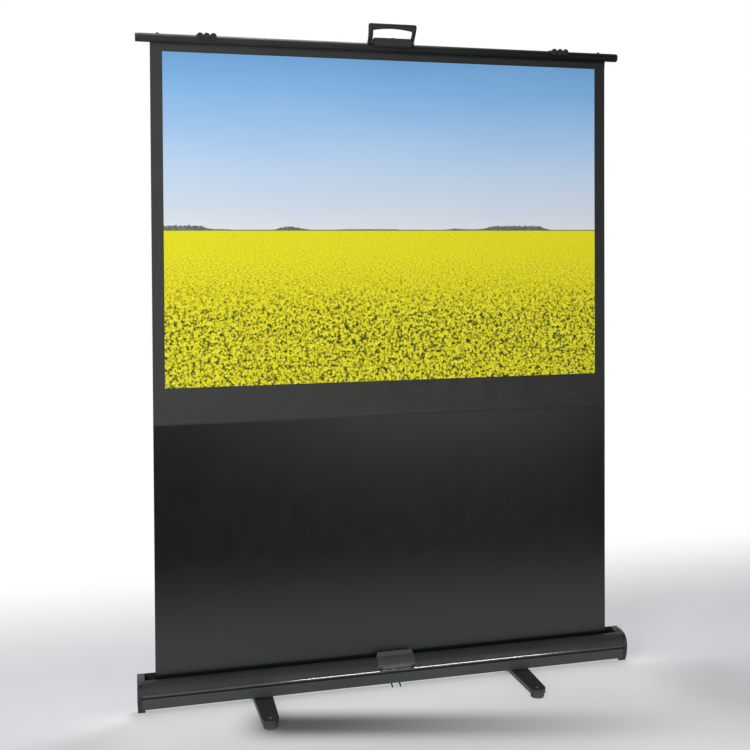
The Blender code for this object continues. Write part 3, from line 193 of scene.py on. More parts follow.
# End caps
END_OVERHANG = 0.0008
END_SHOULDER = ((-0.006, 0.0016), (-0.001, 0.0))
END_EDGE = 0.0006
SPIGOT_LENGTH = 0.008
LIP_LENGTH = 0.0195
LIP_INSET = 0.0006
LIP_TAPER = 0.002
RIM_WIDTH = 0.0028
RIM_CORNER = (-0.002, 0.0042)
RIM_DEPTH = 0.0010
SCREW_PLACES = ((0.022, 0.078), (0.0, 0.038))
SEAT_DEPTH = 0.0034
SEAT_RADIUS = 0.0040
SEAT_MOUTH_RADIUS = 0.0046
END_SCREW_DEPTH = 0.0033
END_SCREW_RADIUS = 0.0036
GUDGEON_BORE = 0.0033

# Scissor lift
ARM_WIDTH = 0.014
ARM_THICKNESS = 0.0035
ARM_EDGE = 0.0006
LAYERS = {"front": 0.0165, "rear": 0.0206}
HANGER_FRONT_Y = 0.0247
HANGER_BACK_Y = 0.0272
HANGER_CUT = (HANGER_FRONT_Y - OVERRUN, HANGER_BACK_Y + OVERRUN)
TOP_PIVOT_Z = 1.7409
HANGER_DROP = 0.009
SLOT_RADIUS = 0.0043
RIVET_DOME = 0.0008
RIVET_HEAD = 0.0014
RIVET_SHANK = 0.0029

# Saddles and their screw caps
SADDLE_HALF_WIDTH = 0.0257
SADDLE_RADIUS = 0.014
SADDLE_SKIRT = 0.003
SADDLE_TURN = 0.003
SADDLE_EDGE = 0.0005
PIVOT_HOLE_RADIUS = 0.0032
RAIL_START = 0.012
RAIL_TIP = 0.009
CAP_RADIUS = 0.0085
CAP_SPACING = 0.0172
CAP_PLACES = (-1, 0, 1)
CAP_HEIGHT = 0.0032
CAP_DROP = 0.0036
CAP_SINK = 0.0011
CAP_EDGE = 0.0012
CAP_RIM = 0.0024
CAP_DISH_RIM = 0.0028
WASHER_DROP = 0.0007
WASHER_RADII = (0.0022, 0.0046, 0.0044, 0.0024)
SADDLE_SCREW_RADIUS = 0.0020

# Handle
HINGE_Y = -0.00268
HINGE_Z = 1.77298
PIN_BORE = 0.0023
PIN_BORE_DEPTH = 0.009
BASE_HALF_WIDTH = 0.052
BASE_FRONT_Y = -0.0291
BASE_BACK_Y = 0.0164
BASE_TOP_Z = 1.7791
BASE_LOW_Z = 1.7581
BASE_WALL = 0.0035
BASE_CHAMFER = 0.004
BASE_EDGE = 0.0011
BASE_POCKET_TOP_Z = 1.7628
BASE_POCKET_BACK_Y = -0.0099
CATCH_SETBACK = 0.0024
CATCH_RISE = 0.0014
CATCH_HALF_WIDTH = 0.0045
PARTING_DROPS = (0.0042, 0.0037)
PARTING_DEPTH = 0.0004
BAIL_TOP_Z = 1.8183
BAIL_HALF_WIDTH = 0.067
BAIL_LEG_WIDTH = 0.0125
BAIL_EAR_THICKNESS = 0.012
BAIL_EAR_RADIUS = 0.0062
BAIL_GRIP_THICKNESS = 0.013
BAIL_GRIP_DROP = 0.005
BAIL_DEPTH = 0.0135
BAIL_FORWARD = 0.0209
BAIL_CORNER = 0.005
BAIL_FILLET = 0.0035
BAIL_SQUARENESS = 0.6
BAIL_SIDE_GAP = 0.001
BAIL_EDGE = 0.0004

# Latch. Angles are in degrees on the casing's front curve
LATCH_HALF_WIDTH = 0.053
LATCH_TONGUE_HALF_WIDTH = 0.040
LATCH_THICKNESS = 0.0018
LATCH_SKIN_GAP = 0.0005
LATCH_LIP_TOP_Z = 0.1086
LATCH_LIP_LEAN = 0.0063
LATCH_LIP_TAPER = 0.0045
LATCH_BARREL_RADIUS = 0.0026
LATCH_BARREL_SPAN = 16
LATCH_PLATE_START = 22
LATCH_TONGUE_START = 8
LATCH_END = 80
LATCH_EDGE = 0.0005

# Hanging wire
WIRE_RADIUS = 0.0019
WIRE_BEND = 0.004
WIRE_FRONT_Y = -0.018
WIRE_BACK_Y = 0.012

# Feet and pads
FOOT_X = 0.36297612
FOOT_REACH = 0.168
FOOT_WIDTH = 0.044
FOOT_MIDDLE_WIDTH = 0.052
FOOT_LOW_Z = 0.012
FOOT_TOP_Z = 0.024
FOOT_EDGE = 0.0028
FOOT_BOSS_RADIUS = 0.015
FOOT_BOLT_BORE = 0.0043
FOOT_HEAD_BORE = 0.0088
FOOT_HEAD_DEPTH = 0.0049
FOOT_PAD_BORE = 0.0033
PAD_REACH = 0.146
PAD_EDGE = 0.0011
PAD_HOLLOW = 0.0006
PAD_HOLLOW_SHARES = (0.5, 0.55)
PAD_RING_Z = 0.0058
PAD_NECK_RADIUS = 0.015
PAD_COLLAR_Z = 0.0068
PAD_COLLAR_RADIUS = 0.0175
PAD_TOP_Z = 0.0117
PAD_STUD_RADIUS = 0.003
PAD_SCREW_RADIUS = 0.0056

# Studio
WORLD_LIGHT = 0.38
ROOM_GLOW_DIRECTION = (-0.25, -0.96, 0.12)
ROOM_GLOW_CORE = 0.985
ROOM_GLOW_EDGE = 0.80
ROOM_GLOW = 0.6
ROOM_DARK = 0.10
ROOM_FRONT = (-0.1, 0.3)
FLOOR_COLOUR = (0.70, 0.70, 0.73)
FLOOR_HALF_SIZE = 14.0
FLOOR_FADE = (0.3, 1.25)
FLOOR_DIM = (-1.4, -0.35)
FLOOR_FRONT_Y = (-0.02, 0.08)
FLOOR_GLOW_Y = (-0.40, -0.06)
FLOOR_GLOW = (0.18, 0.50)
FLOOR_GLOW_X = (0.62, 0.95)
SHADE_START = (-0.32, -0.145, 0.0)
SHADE_TURN = math.radians(-14.6)
SHADE_LEFT = -0.16
SHADE_RIGHT = 1.2
SHADE_CORE = 0.015
SHADE_HALF_WIDTH = 0.115
SHADE_DEPTH = 0.75
LAMPS = {  # place, aim, size and power
    "key": ((-2.3, -2.9, 1.7), (0, 0, 0.9), (1.3, 1.3), 54),
    "low": ((1.75, -6.0, 0.8), (0.1, 0, 0.1), (2.1, 0.4), 76),
    "overhead": ((-0.15, 0.26, 3.2), (0, -0.05, 0), (1.0, 0.3), 50),
}

# Finishes: the mottle's spread and scale, the least and most roughness as shares and their scale,
# the grain's scale, detail and roughness, and the grain's strength and height
FINISHES = {
    "powder": ((0.12, 9.0), (0.85, 1.2, 14.0), (1500.0, 2.0, 0.5), (0.12, 0.0002)),
    "smooth": ((0.12, 9.0), (0.85, 1.2, 14.0), (1500.0, 2.0, 0.5), (0.02, 0.0002)),
    "moulded": ((0.10, 30.0), (0.9, 1.15, 60.0), (2200.0, 3.0, 0.7), (0.25, 0.0002)),
    "rubber": ((0.25, 80.0), None, (900.0, 4.0, 0.5), (0.3, 0.0003)),
    "zinc": ((0.10, 120.0), (0.8, 1.4, 160.0), (1800.0, 2.0, 0.5), (0.08, 0.0001)),
    "extruded": ((0.08, 1.0), None, (1.0, 2.0, 0.5), (0.15, 0.0001)),
    "nylon": ((0.04, 200.0), None, (1400.0, 2.0, 0.5), (0.1, 0.0001)),
}
DIE_LINES = (1.5, 900.0, 900.0)

# Hard materials: finish, colour on a screen, roughness, and specular level and metal where they aren't usual
HARD_LOOKS = {
    "casing_paint": ("powder", (46, 50, 49), 0.5, 0.3),
    # Painted highlight: the bead's paint is lighter than the casing's, on top of its real gloss
    "bead_highlight_paint": ("smooth", (60, 66, 67), 0.1, 1.0),
    # Painted reflection: the lower flank is painted lighter for the bright floor that it reflects
    "flank_reflection_paint": ("powder", (66, 70, 69), 0.45, 0.3),
    # Painted shade: the cove under the bead is painted dark. The hanging wire takes the same black as its own
    # colour
    "cove_shade_and_wire_black": ("powder", (14, 20, 20), 0.6, 0.25),
    "tube_paint": ("powder", (50, 52, 50), 0.5, 0.12),
    "arm_paint": ("powder", (30, 31, 31), 0.42),
    "foot_paint": ("powder", (54, 57, 54), 0.4),
    "black_plastic": ("moulded", (30, 31, 31), 0.42),
    "handle_plastic": ("moulded", (34, 35, 34), 0.5, 0.35),
    "latch_plastic": ("moulded", (66, 69, 68), 0.42),
    "grey_plastic": ("moulded", (70, 72, 72), 0.5),
    "pad_rubber": ("rubber", (88, 89, 85), 0.72, 0.35),
    "zinc_metal": ("zinc", (196, 194, 182), 0.3, 0.5, 1.0),
    "screw_coat": ("powder", (80, 82, 81), 0.5),
    "bare_aluminium": ("extruded", (190, 192, 194), 0.34, 0.5, 1.0),
    "white_nylon": ("nylon", (222, 219, 206), 0.42),
}

# Coated cloths: colour on a screen, roughness and specular level
CLOTH_LOOKS = {
    "border_cloth": ((44, 46, 43), 0.5, 0.4),
    "skirt_black": ((6, 11, 10), 0.3, 0.32),
    "cloth_backing": ((26, 27, 27), 0.6, 0.3),
}
# Painted shade: these looks darken from the screen's left side to its right one, as light falls from the
# left. Each gives the dark colour and how far it is mixed in at the right
PAINTED_SIDE_SHADE = {"tube_paint": ((10, 11, 8), 0.85), "border_cloth": ((10, 12, 9), 0.8)}
# The skirt's painted bounce light at its foot, and its painted shade in the casing's mouth
SKIRT_BOUNCE_COLOUR = (74, 80, 78)
SKIRT_MOUTH_SHADE_COLOUR = (0.0008, 0.0008, 0.0008)
SKIRT_MOUTH_ROUGHNESS = 0.9


def srgb(red, green, blue):
    """A colour written as a screen shows it, from 0 to 255, as the linear values that a shader takes."""
    shares = [value / 255 for value in (red, green, blue)]
    return tuple(share / 12.92 if share < 0.04045 else ((share + 0.055) / 1.055) ** 2.4 for share in shares)


def new_material(name, colour, roughness, specular=0.5, metallic=0.0):
    """A material with one Principled shader."""
    mat = bpy.data.materials.new(name)
    mat.use_nodes = True
    inputs = shader_of(mat).inputs
    inputs["Base Color"].default_value = (*colour, 1)
    inputs["Roughness"].default_value = roughness
    inputs["Metallic"].default_value = metallic
    inputs["Specular IOR Level"].default_value = specular
    return mat


def shader_of(mat):
    """A material's Principled shader."""
    return mat.node_tree.nodes["Principled BSDF"]


def join(mat, source, target):
    """Links an output to an input."""
    mat.node_tree.links.new(source, target)


def feed(mat, name, source):
    """Links an output to one of the inputs of a material's shader."""
    join(mat, source, shader_of(mat).inputs[name])


def fed(mat, name):
    """The output that now feeds one of the inputs of a material's shader."""
    return shader_of(mat).inputs[name].links[0].from_socket


def node(mat, kind, inputs=None, **settings):
    """A shader node with its settings, and with values or links on its inputs."""
    made = mat.node_tree.nodes.new(kind)
    for name, value in settings.items():
        setattr(made, name, value)
    for name, value in (inputs or {}).items():
        if isinstance(value, bpy.types.NodeSocket):
            join(mat, value, made.inputs[name])
        else:
            made.inputs[name].default_value = value
    return made


def place_in_metres(mat):
    """The surface point's place in the frame, since every piece has its origin at the frame's."""
    return node(mat, "ShaderNodeTexCoord").outputs["Object"]


def split(mat, coordinates):
    """The X, Y and Z of a point or direction."""
    return node(mat, "ShaderNodeSeparateXYZ", {"Vector": coordinates}).outputs


def stretched(mat, coordinates, scale):
    """Coordinates with each axis scaled by itself."""
    return node(mat, "ShaderNodeMapping", {"Vector": coordinates, "Scale": scale}).outputs["Vector"]


def noise(mat, coordinates, scale, detail=2.0, roughness=0.5):
    """A noise value around a half."""
    inputs = {"Vector": coordinates, "Scale": scale, "Detail": detail, "Roughness": roughness}
    return node(mat, "ShaderNodeTexNoise", inputs).outputs[0]


def number(mat, operation, first, second=0.0, third=0.0):
    """The result of one sum on values or outputs."""
    return node(mat, "ShaderNodeMath", {0: first, 1: second, 2: third}, operation=operation).outputs[0]


def times(mat, first, second):
    """Two values multiplied."""
    return number(mat, "MULTIPLY", first, second)


def lined_up(mat, first, second):
    """How far one vector reaches along another."""
    made = node(mat, "ShaderNodeVectorMath", {0: first, 1: second}, operation="DOT_PRODUCT")
    return made.outputs["Value"]


def fade(mat, value, low, high, start=0.0, end=1.0):
    """A value eased from start to end as it goes from low to high."""
    inputs = {"Value": value, "From Min": low, "From Max": high, "To Min": start, "To Max": end}
    return node(mat, "ShaderNodeMapRange", inputs, interpolation_type="SMOOTHSTEP").outputs["Result"]


def ramp(mat, value, stops):
    """A colour read from (place, colour) stops."""
    made = node(mat, "ShaderNodeValToRGB", {"Fac": value})
    points = made.color_ramp.elements
    for index, (place, colour) in enumerate(stops):
        point = points[index] if index < 2 else points.new(place)
        point.position = place
        point.color = (*colour, 1)
    return made.outputs["Color"]


def mixed(mat, factor, first, second):
    """Two colours mixed by a factor."""
    made = node(mat, "ShaderNodeMix", {0: factor}, data_type="RGBA")
    for socket, colour in ((made.inputs[6], first), (made.inputs[7], second)):
        if isinstance(colour, bpy.types.NodeSocket):
            join(mat, colour, socket)
        else:
            socket.default_value = (*colour, 1)
    return made.outputs[2]


def screen_ramp(mat, value, stops):
    """A colour read from stops whose colours are written as a screen shows them."""
    return ramp(mat, value, [(place, srgb(*colour)) for place, colour in stops])


def add_bump(mat, height, strength, distance):
    """Gives a material's shader a bump."""
    made = node(mat, "ShaderNodeBump", {"Height": height, "Strength": strength, "Distance": distance})
    feed(mat, "Normal", made.outputs["Normal"])


def add_mottle(mat, coordinates, colour, spread, scale):
    """Varies a material's colour a little from place to place."""
    darker = tuple(value * (1 - spread) for value in colour)
    lighter = tuple(value * (1 + spread) for value in colour)
    tone = ramp(mat, noise(mat, coordinates, scale, 4.0), [(0.3, darker), (0.7, lighter)])
    feed(mat, "Base Color", tone)


def add_rough_patches(mat, coordinates, low, high, scale):
    """Varies a material's roughness from place to place."""
    value = noise(mat, coordinates, scale, 5.0, 0.6)
    feed(mat, "Roughness", fade(mat, value, 0.3, 0.7, low, high))


def hard_look(name, finish, colour, roughness, specular=0.5, metallic=0.0):
    """A paint, plastic, metal or rubber with a mottled tone, uneven gloss and a fine grain."""
    mottle, patches, grain, bump = FINISHES[finish]
    mat = new_material(name, srgb(*colour), roughness, specular, metallic)
    place = place_in_metres(mat)
    if finish == "extruded":
        place = stretched(mat, place, DIE_LINES)
    add_mottle(mat, place, srgb(*colour), *mottle)
    if patches:
        low, high, scale = patches
        add_rough_patches(mat, place, roughness * low, roughness * high, scale)
    add_bump(mat, noise(mat, place, *grain), *bump)
    return mat


def weave_height(mat, place):
    """The height of a plain weave in the X Z plane."""
    scale = THREADS_PER_METRE / WAVE_STEP * FULL_TURN
    inputs = {"Vector": place, "Scale": scale, "Distortion": 0.6, "Detail": 1.0}
    waves = [node(mat, "ShaderNodeTexWave", inputs, bands_direction=axis) for axis in ("X", "Z")]
    return times(mat, *(wave.outputs[1] for wave in waves))


def coated_cloth(name, colour, roughness, specular):
    """Black coated cloth: a plain weave that shows through the coating, and long soft clouds in its tone."""
    mat = new_material(name, srgb(*colour), roughness, specular)
    place = place_in_metres(mat)
    clouds = stretched(mat, place, CLOUD_STRETCH)
    add_mottle(mat, clouds, srgb(*colour), 0.12, 3.0)
    add_rough_patches(mat, place, roughness * 0.92, roughness * 1.08, 25.0)
    add_bump(mat, weave_height(mat, place), 0.3, 0.0001)
    return mat


def paint_side_shade(mat, dark, depth):
    """Paints shade into a material's tone, deeper from the screen's left side to its right one, as light
    falls from the left.
    """
    across = split(mat, place_in_metres(mat))["X"]
    share = fade(mat, across, -CLOTH_HALF_WIDTH, CLOTH_HALF_WIDTH, 0.0, depth)
    feed(mat, "Base Color", mixed(mat, share, fed(mat, "Base Color"), dark))


def paint_skirt_bounce_and_mouth_shade(mat):
    """Paints the skirt paler towards its foot, for light bounced up off the floor, and paints it black and
    dull in the casing's mouth, for the shade there.
    """
    height = split(mat, place_in_metres(mat))["Z"]
    shade = fade(mat, height, SKIRT_MOUTH_Z, SKIRT_SHADE_Z)
    painted_bounce = fade(mat, height, SKIRT_SHADE_Z, SKIRT_BOUNCE_TOP_Z, SKIRT_BOUNCE_SHARE, 0.0)
    tone = mixed(mat, painted_bounce, fed(mat, "Base Color"), srgb(*SKIRT_BOUNCE_COLOUR))
    feed(mat, "Base Color", mixed(mat, shade, SKIRT_MOUTH_SHADE_COLOUR, tone))
    gloss = fade(mat, shade, 0.0, 1.0, SKIRT_MOUTH_ROUGHNESS, fed(mat, "Roughness"))
    feed(mat, "Roughness", gloss)


def sky_colour(mat, place, height):
    """Blue that pales down to the horizon, with thin haze in bands."""
    drift = noise(mat, stretched(mat, place, SKY_HAZE_STRETCH), *SKY_HAZE)
    haze = number(mat, "MULTIPLY_ADD", drift, 0.16, -0.08)
    level = number(mat, "DIVIDE", height, PICTURE_HIGH_Z - HORIZON_Z)
    return screen_ramp(mat, number(mat, "SUBTRACT", level, haze), SKY_STOPS)


def field_colour(mat, place, depth):
    """A field of yellow flowers, fine and even far off, and in leafy clumps at the picture's foot."""
    flat = stretched(mat, place, (1.0, 0.0, 1.0))
    low = stretched(mat, place, (0.8, 0.0, 1.7))
    far = noise(mat, low, *FAR_FLOWERS)
    middle = noise(mat, low, *MIDDLE_FLOWERS)
    near = noise(mat, flat, *NEAR_FLOWERS)
    heads = node(mat, "ShaderNodeTexVoronoi", {"Vector": flat, "Scale": FLOWER_HEADS}).outputs["Distance"]
    near = number(mat, "MULTIPLY_ADD", heads, -0.34, number(mat, "ADD", near, 0.15))
    tufts = fade(mat, depth, *FAR_DEPTH, far, middle)
    tufts = fade(mat, depth, *NEAR_DEPTH, tufts, near)
    contrast = fade(mat, depth, *CONTRAST_DEPTH, *CONTRAST)
    spread = times(mat, number(mat, "SUBTRACT", tufts, 0.5), contrast)
    level = fade(mat, depth, *LEVEL_DEPTH, *LEVEL)
    flowers = screen_ramp(mat, number(mat, "ADD", spread, level), FIELD_STOPS)
    stalks = fade(mat, noise(mat, flat, *STALKS), 0.55, 0.68, 0.0, 0.35)
    return mixed(mat, stalks, flowers, srgb(*STALK_COLOUR))


def tree_height(mat, across):
    """How high the far trees stand above the horizon, in clumps of different lengths."""
    line = node(mat, "ShaderNodeCombineXYZ", {"X": across}).outputs["Vector"]
    clumps = fade(mat, noise(mat, line, *TREE_CLUMPS), 0.47, 0.60, 0.0, TREE_CLUMP_HEIGHT)
    crowns = number(mat, "MULTIPLY_ADD", noise(mat, line, *TREE_CROWNS), 1.5, 0.2)
    return number(mat, "ADD", times(mat, clumps, crowns), TREE_LEAST_HEIGHT)


def picture_cloth(name):
    """White screen cloth that shows a made up landscape: a field under a sky, with far trees between them."""
    mat = new_material(name, (1, 1, 1), 0.75, 0.2)
    place = place_in_metres(mat)
    axes = split(mat, place)
    height = number(mat, "SUBTRACT", axes["Z"], HORIZON_Z)
    field = field_colour(mat, place, times(mat, height, -1.0))
    above = fade(mat, height, -HORIZON_BLUR, HORIZON_BLUR)
    land = mixed(mat, above, field, sky_colour(mat, place, height))
    green = screen_ramp(mat, noise(mat, place, *LEAVES), TREE_STOPS)
    crowns = number(mat, "SUBTRACT", tree_height(mat, axes["X"]), height)
    trees = fade(mat, crowns, *TREE_CROWN_EDGE)
    trees = times(mat, trees, fade(mat, height, *TREE_FOOT_EDGE))
    feed(mat, "Base Color", mixed(mat, times(mat, trees, TREE_COVER), land, green))
    add_bump(mat, weave_height(mat, place), 0.15, 0.0001)
    return mat


def make_looks():
    """All the materials, by name."""
    made = {name: hard_look(name, *values) for name, values in HARD_LOOKS.items()}
    made |= {name: coated_cloth(name, *values) for name, values in CLOTH_LOOKS.items()}
    made["picture"] = picture_cloth("picture")
    made["floor"] = floor_look("floor")
    paint_skirt_bounce_and_mouth_shade(made["skirt_black"])
    for name, (dark, depth) in PAINTED_SIDE_SHADE.items():
        paint_side_shade(made[name], srgb(*dark), depth)
    return made


def along(axis, u, v, w):
    """The point at w along an axis, and at u and v on the other two in X, Y, Z order."""
    if axis == "X":
        return Vector((w, u, v))
    if axis == "Y":
        return Vector((u, w, v))
    return Vector((u, v, w))


def add_looks(piece, *names):
    """Gives a piece more looks, which its faces choose between."""
    for name in names:
        piece.data.materials.append(looks[name])


def new_piece(name, bm, look):
    """Turns a bmesh into an object, smooth apart from its sharp edges."""
    bmesh.ops.remove_doubles(bm, verts=bm.verts, dist=MERGE_DISTANCE)
    bmesh.ops.recalc_face_normals(bm, faces=bm.faces)
    mesh = bpy.data.meshes.new(name)
    bm.to_mesh(mesh)
    bm.free()
    mesh.shade_smooth()
    mesh.set_sharp_from_angle(angle=SMOOTH_ANGLE)
    piece = bpy.data.objects.new(name, mesh)
    bpy.context.scene.collection.objects.link(piece)
    if look:
        add_looks(piece, look)
    return piece


def extruded(name, outline, axis, start, end, look=None):
    """A flat closed outline carried along an axis."""
    bm = bmesh.new()
    face = bm.faces.new([bm.verts.new(along(axis, u, v, start)) for u, v in outline])
    grown = bmesh.ops.extrude_face_region(bm, geom=[face])["geom"]
    moved = [part for part in grown if isinstance(part, bmesh.types.BMVert)]
    bmesh.ops.translate(bm, verts=moved, vec=along(axis, 0, 0, end - start))
    return new_piece(name, bm, look)


def turned(name, profile, axis, u, v, look=None, steps=SMALL_STEPS, ring=False):
    """A profile of (radius, place along the axis) points spun about an axis through u, v."""
    bm = bmesh.new()
    points = [bm.verts.new(along(axis, u + radius, v, place)) for radius, place in profile]
    pairs = list(zip(points, points[1:]))
    if ring:
        pairs.append((points[-1], points[0]))
    edges = [bm.edges.new(pair) for pair in pairs]
    bmesh.ops.spin(
        bm,
        geom=points + edges,
        cent=along(axis, u, v, 0),
        axis=along(axis, 0, 0, 1),
        dvec=Vector(),
        angle=FULL_TURN,
        steps=steps,
        use_merge=True,
    )
    return new_piece(name, bm, look)


def rod(name, radius, start, end, axis, u, v, steps=SMALL_STEPS):
    """A round bar along an axis through u, v, to cut or join with."""
    return turned(name, [(0, start), (radius, start), (radius, end), (0, end)], axis, u, v, steps=steps)


def lofted(name, rings, look):
    """Closed rings of points joined one to the next, with a face across each end."""
    bm = bmesh.new()
    loops = [[bm.verts.new(point) for point in ring] for ring in rings]
    for near, far in zip(loops, loops[1:]):
        for index, vert in enumerate(near):
            before = index - 1
            bm.faces.new((near[before], vert, far[index], far[before]))
    bm.faces.new(loops[0])
    bm.faces.new(loops[-1])
    return new_piece(name, bm, look)


def between(low, high, share):
    """The value at a share of the way from low to high."""
    return low + (high - low) * share


def rectangle(u_low, u_high, v_low, v_high):
    """The corners of a rectangle."""
    return [(u_low, v_low), (u_high, v_low), (u_high, v_high), (u_low, v_high)]


def arc(centre_u, centre_v, radius_u, radius_v, start, end, steps=CURVE_STEPS):
    """Points on a round or elliptic arc, from one angle in degrees to another."""
    angles = [math.radians(start + (end - start) * step / steps) for step in range(steps + 1)]
    return [(centre_u + radius_u * math.cos(a), centre_v + radius_v * math.sin(a)) for a in angles]


def quarter(centre_u, centre_v, radius, start=0):
    """A quarter of a circle, from an angle in degrees."""
    return arc(centre_u, centre_v, radius, radius, start, start + 90, QUARTER_STEPS)


def rounded(corners, radius, steps):
    """A closed outline with every corner rounded."""
    points = []
    for index, corner in enumerate(corners):
        here = Vector(corner)
        to_before = (Vector(corners[index - 1]) - here).normalized()
        to_after = (Vector(corners[(index + 1) % len(corners)]) - here).normalized()
        half_angle = to_before.angle(to_after) / 2
        centre = here + (to_before + to_after).normalized() * (radius / math.sin(half_angle))
        reach = radius / math.tan(half_angle)
        start = here + to_before * reach - centre
        end = here + to_after * reach - centre
        for step in range(steps + 1):
            points.append(tuple(centre + start.lerp(end, step / steps).normalized() * radius))
    return points


def capsule(u_low, u_high, v, radius):
    """The outline of a slot or a round ended bar that lies along u."""
    steps = SMALL_STEPS // 2
    return arc(u_high, v, radius, radius, -90, 90, steps) + arc(u_low, v, radius, radius, 90, 270, steps)


def bowed(start, end, bow):
    """Points from start up to but not onto end, bowed out to the left of the way they run."""
    start, end = Vector(start), Vector(end)
    direction = (end - start).normalized()
    outward = Vector((-direction.y, direction.x))
    steps = CURVE_STEPS // 2
    shares = [step / steps for step in range(steps)]
    return [tuple(start.lerp(end, share) + outward * (bow * 4 * share * (1 - share))) for share in shares]


def offset_path(path, distance):
    """An open path moved sideways, to the left of the way it runs, with its corners kept."""
    points = [Vector(point) for point in path]
    normals = []
    for here, there in zip(points, points[1:]):
        direction = (there - here).normalized()
        normals.append(Vector((-direction.y, direction.x)))
    moved = [points[0] + normals[0] * distance]
    for point, before, after in zip(points[1:-1], normals, normals[1:]):
        middle = (before + after).normalized()
        moved.append(point + middle * (distance / middle.dot(after)))
    moved.append(points[-1] + normals[-1] * distance)
    return [tuple(point) for point in moved]


def soften(piece, width, segments=3):
    """Rounds a piece's sharp edges and keeps its flat faces flat."""
    modifier = piece.modifiers.new("edges", "BEVEL")
    modifier.width = width
    modifier.segments = segments
    modifier.limit_method = "ANGLE"
    modifier.angle_limit = SMOOTH_ANGLE
    modifier.harden_normals = True


def carve(piece, operation, tools):
    """Cuts or joins the tools into a piece and takes the tools away."""
    for tool in tools:
        modifier = piece.modifiers.new(tool.name, "BOOLEAN")
        modifier.operation = operation
        modifier.solver = "EXACT"
        modifier.object = tool
    graph = bpy.context.evaluated_depsgraph_get()
    carved = bpy.data.meshes.new_from_object(piece.evaluated_get(graph))
    piece.modifiers.clear()
    piece.data = carved
    carved.shade_smooth()
    carved.set_sharp_from_angle(angle=SMOOTH_ANGLE)
    for tool in tools:
        bpy.data.objects.remove(tool, do_unlink=True)


def settle(piece, body, slot, *nodes):
    """Puts a piece on a body and hides the CAD nodes that it stands for. Its slot is not used."""
    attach(piece, body)
    if nodes:
        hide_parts(*nodes)


def finish_node(name, look):
    """Gives a CAD node that stays its look."""
    piece = frame["nodes"][name]
    piece.data.materials.clear()
    add_looks(piece, look)


def measured(name):
    """The middle of a CAD node and half its width."""
    low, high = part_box(name)
    return (low + high) / 2, (high.x - low.x) / 2


def middle_x(name):
    """Where the middle of a CAD node is in X."""
    low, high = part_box(name)
    return (low.x + high.x) / 2


def front_curve(start, end):
    """The casing's curved upper front, between two angles above its waist."""
    front_y, front_z = FRONT_EDGE
    return arc(front_y, WAIST_Z, -(HALF_DEPTH + front_y), front_z - WAIST_Z, start, end)


def casing_path():
    """The casing's outside, from its back edge down, under and up to its front edge."""
    path = bowed(BACK_EDGE, (HALF_DEPTH, WAIST_Z), BACK_BOW)
    path += bowed((HALF_DEPTH, WAIST_Z), (FLOOR_HALF_DEPTH, FLOOR_Z), FLANK_BOW)
    path.append((FLOOR_HALF_DEPTH, FLOOR_Z))
    path += bowed((-FLOOR_HALF_DEPTH, FLOOR_Z), (-HALF_DEPTH, WAIST_Z), FLANK_BOW)
    return path + front_curve(0, 90)


def beaded(path):
    """The casing's outside with the bead at its waist and the cove under the bead."""
    below = [point for point in path if not (point[0] < 0 and point[1] > COVE_LOW_Z)]
    above = [point for point in path if point[0] < 0 and point[1] > BEAD_HIGH[1] + GAP]
    cove = [(COVE_LOW_Y, COVE_LOW_Z), (COVE_HIGH_Y, BEAD_LOW[1] - GAP), BEAD_LOW]
    face = bowed(BEAD_LOW, BEAD_HIGH, BEAD_BOW)[1:]
    return below + cove + face + [BEAD_HIGH] + above


def casing_zone(y, z):
    """Which look a face of the casing takes: 0 for its own, 1 the bead's, lighter for a painted highlight, 2
    the cove's, dark for painted shade, 3 the flank's, lighter for a painted reflection of the floor.
    """
    if y < COVE_LOW_Y - GAP and BEAD_LOW[1] < z < BEAD_HIGH[1]:
        return 1
    if y < COVE_LOW_Y + GAP and COVE_LOW_Z < z < BEAD_LOW[1]:
        return 2
    if y < -FLOOR_HALF_DEPTH and z < COVE_LOW_Z:
        return 3
    return 0


def add_casing():
    """The long extrusion, with its bead, cove and rounded slot edges."""
    path = casing_path()
    outline = beaded(path) + offset_path(path, -CASING_WALL)[::-1]
    low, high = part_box("casing_shell")
    casing = extruded("casing", outline, "X", low.x, high.x, "casing_paint")
    add_looks(casing, "bead_highlight_paint", "cove_shade_and_wire_black", "flank_reflection_paint")
    for face in casing.data.polygons:
        face.material_index = casing_zone(face.center.y, face.center.z)
    soften(casing, CASING_EDGE, 2)
    settle(casing, "casing", "black_paint", "casing_shell")


def add_cross_head(name, axis, u, v, start, out, radius, look):
    """A screw's round head with a cross recess. Out is 1 or -1, the way the head faces along its axis."""
    height = radius * HEAD_RISE
    dome = arc(0, 0, radius, height, 0, 90, DOME_STEPS)
    profile = [(0, start), *((across, start + out * rise) for across, rise in dome)]
    head = turned(name, profile, axis, u, v, look)
    arm, width = radius * CROSS_REACH, radius * CROSS_WIDTH
    floor = start + out * height * CROSS_DEPTH
    top = start + out * (height + OVERRUN)
    tools = [
        extruded(f"{name}_tool_{index}", rectangle(u - wide, u + wide, v - tall, v + tall), axis, floor, top)
        for index, (wide, tall) in enumerate(((arm, width), (width, arm)))
    ]
    carve(head, "DIFFERENCE", tools)
    return head


def outer_end(name, side):
    """Where a CAD node ends in X on its outer side."""
    low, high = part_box(name)
    return high.x if side > 0 else low.x


def end_cap_lip(name, side, outer_x, low_z):
    """The end cap's lip that goes down past the casing's floor."""
    half = FLOOR_HALF_DEPTH - LIP_TAPER
    top = FLOOR_Z - GAP
    outline = [(-FLOOR_HALF_DEPTH, top), (-half, low_z), (half, low_z), (FLOOR_HALF_DEPTH, top)]
    return extruded(f"cap_lip_{name}", outline, "X", outer_x - side * LIP_LENGTH, outer_x - side * LIP_INSET)


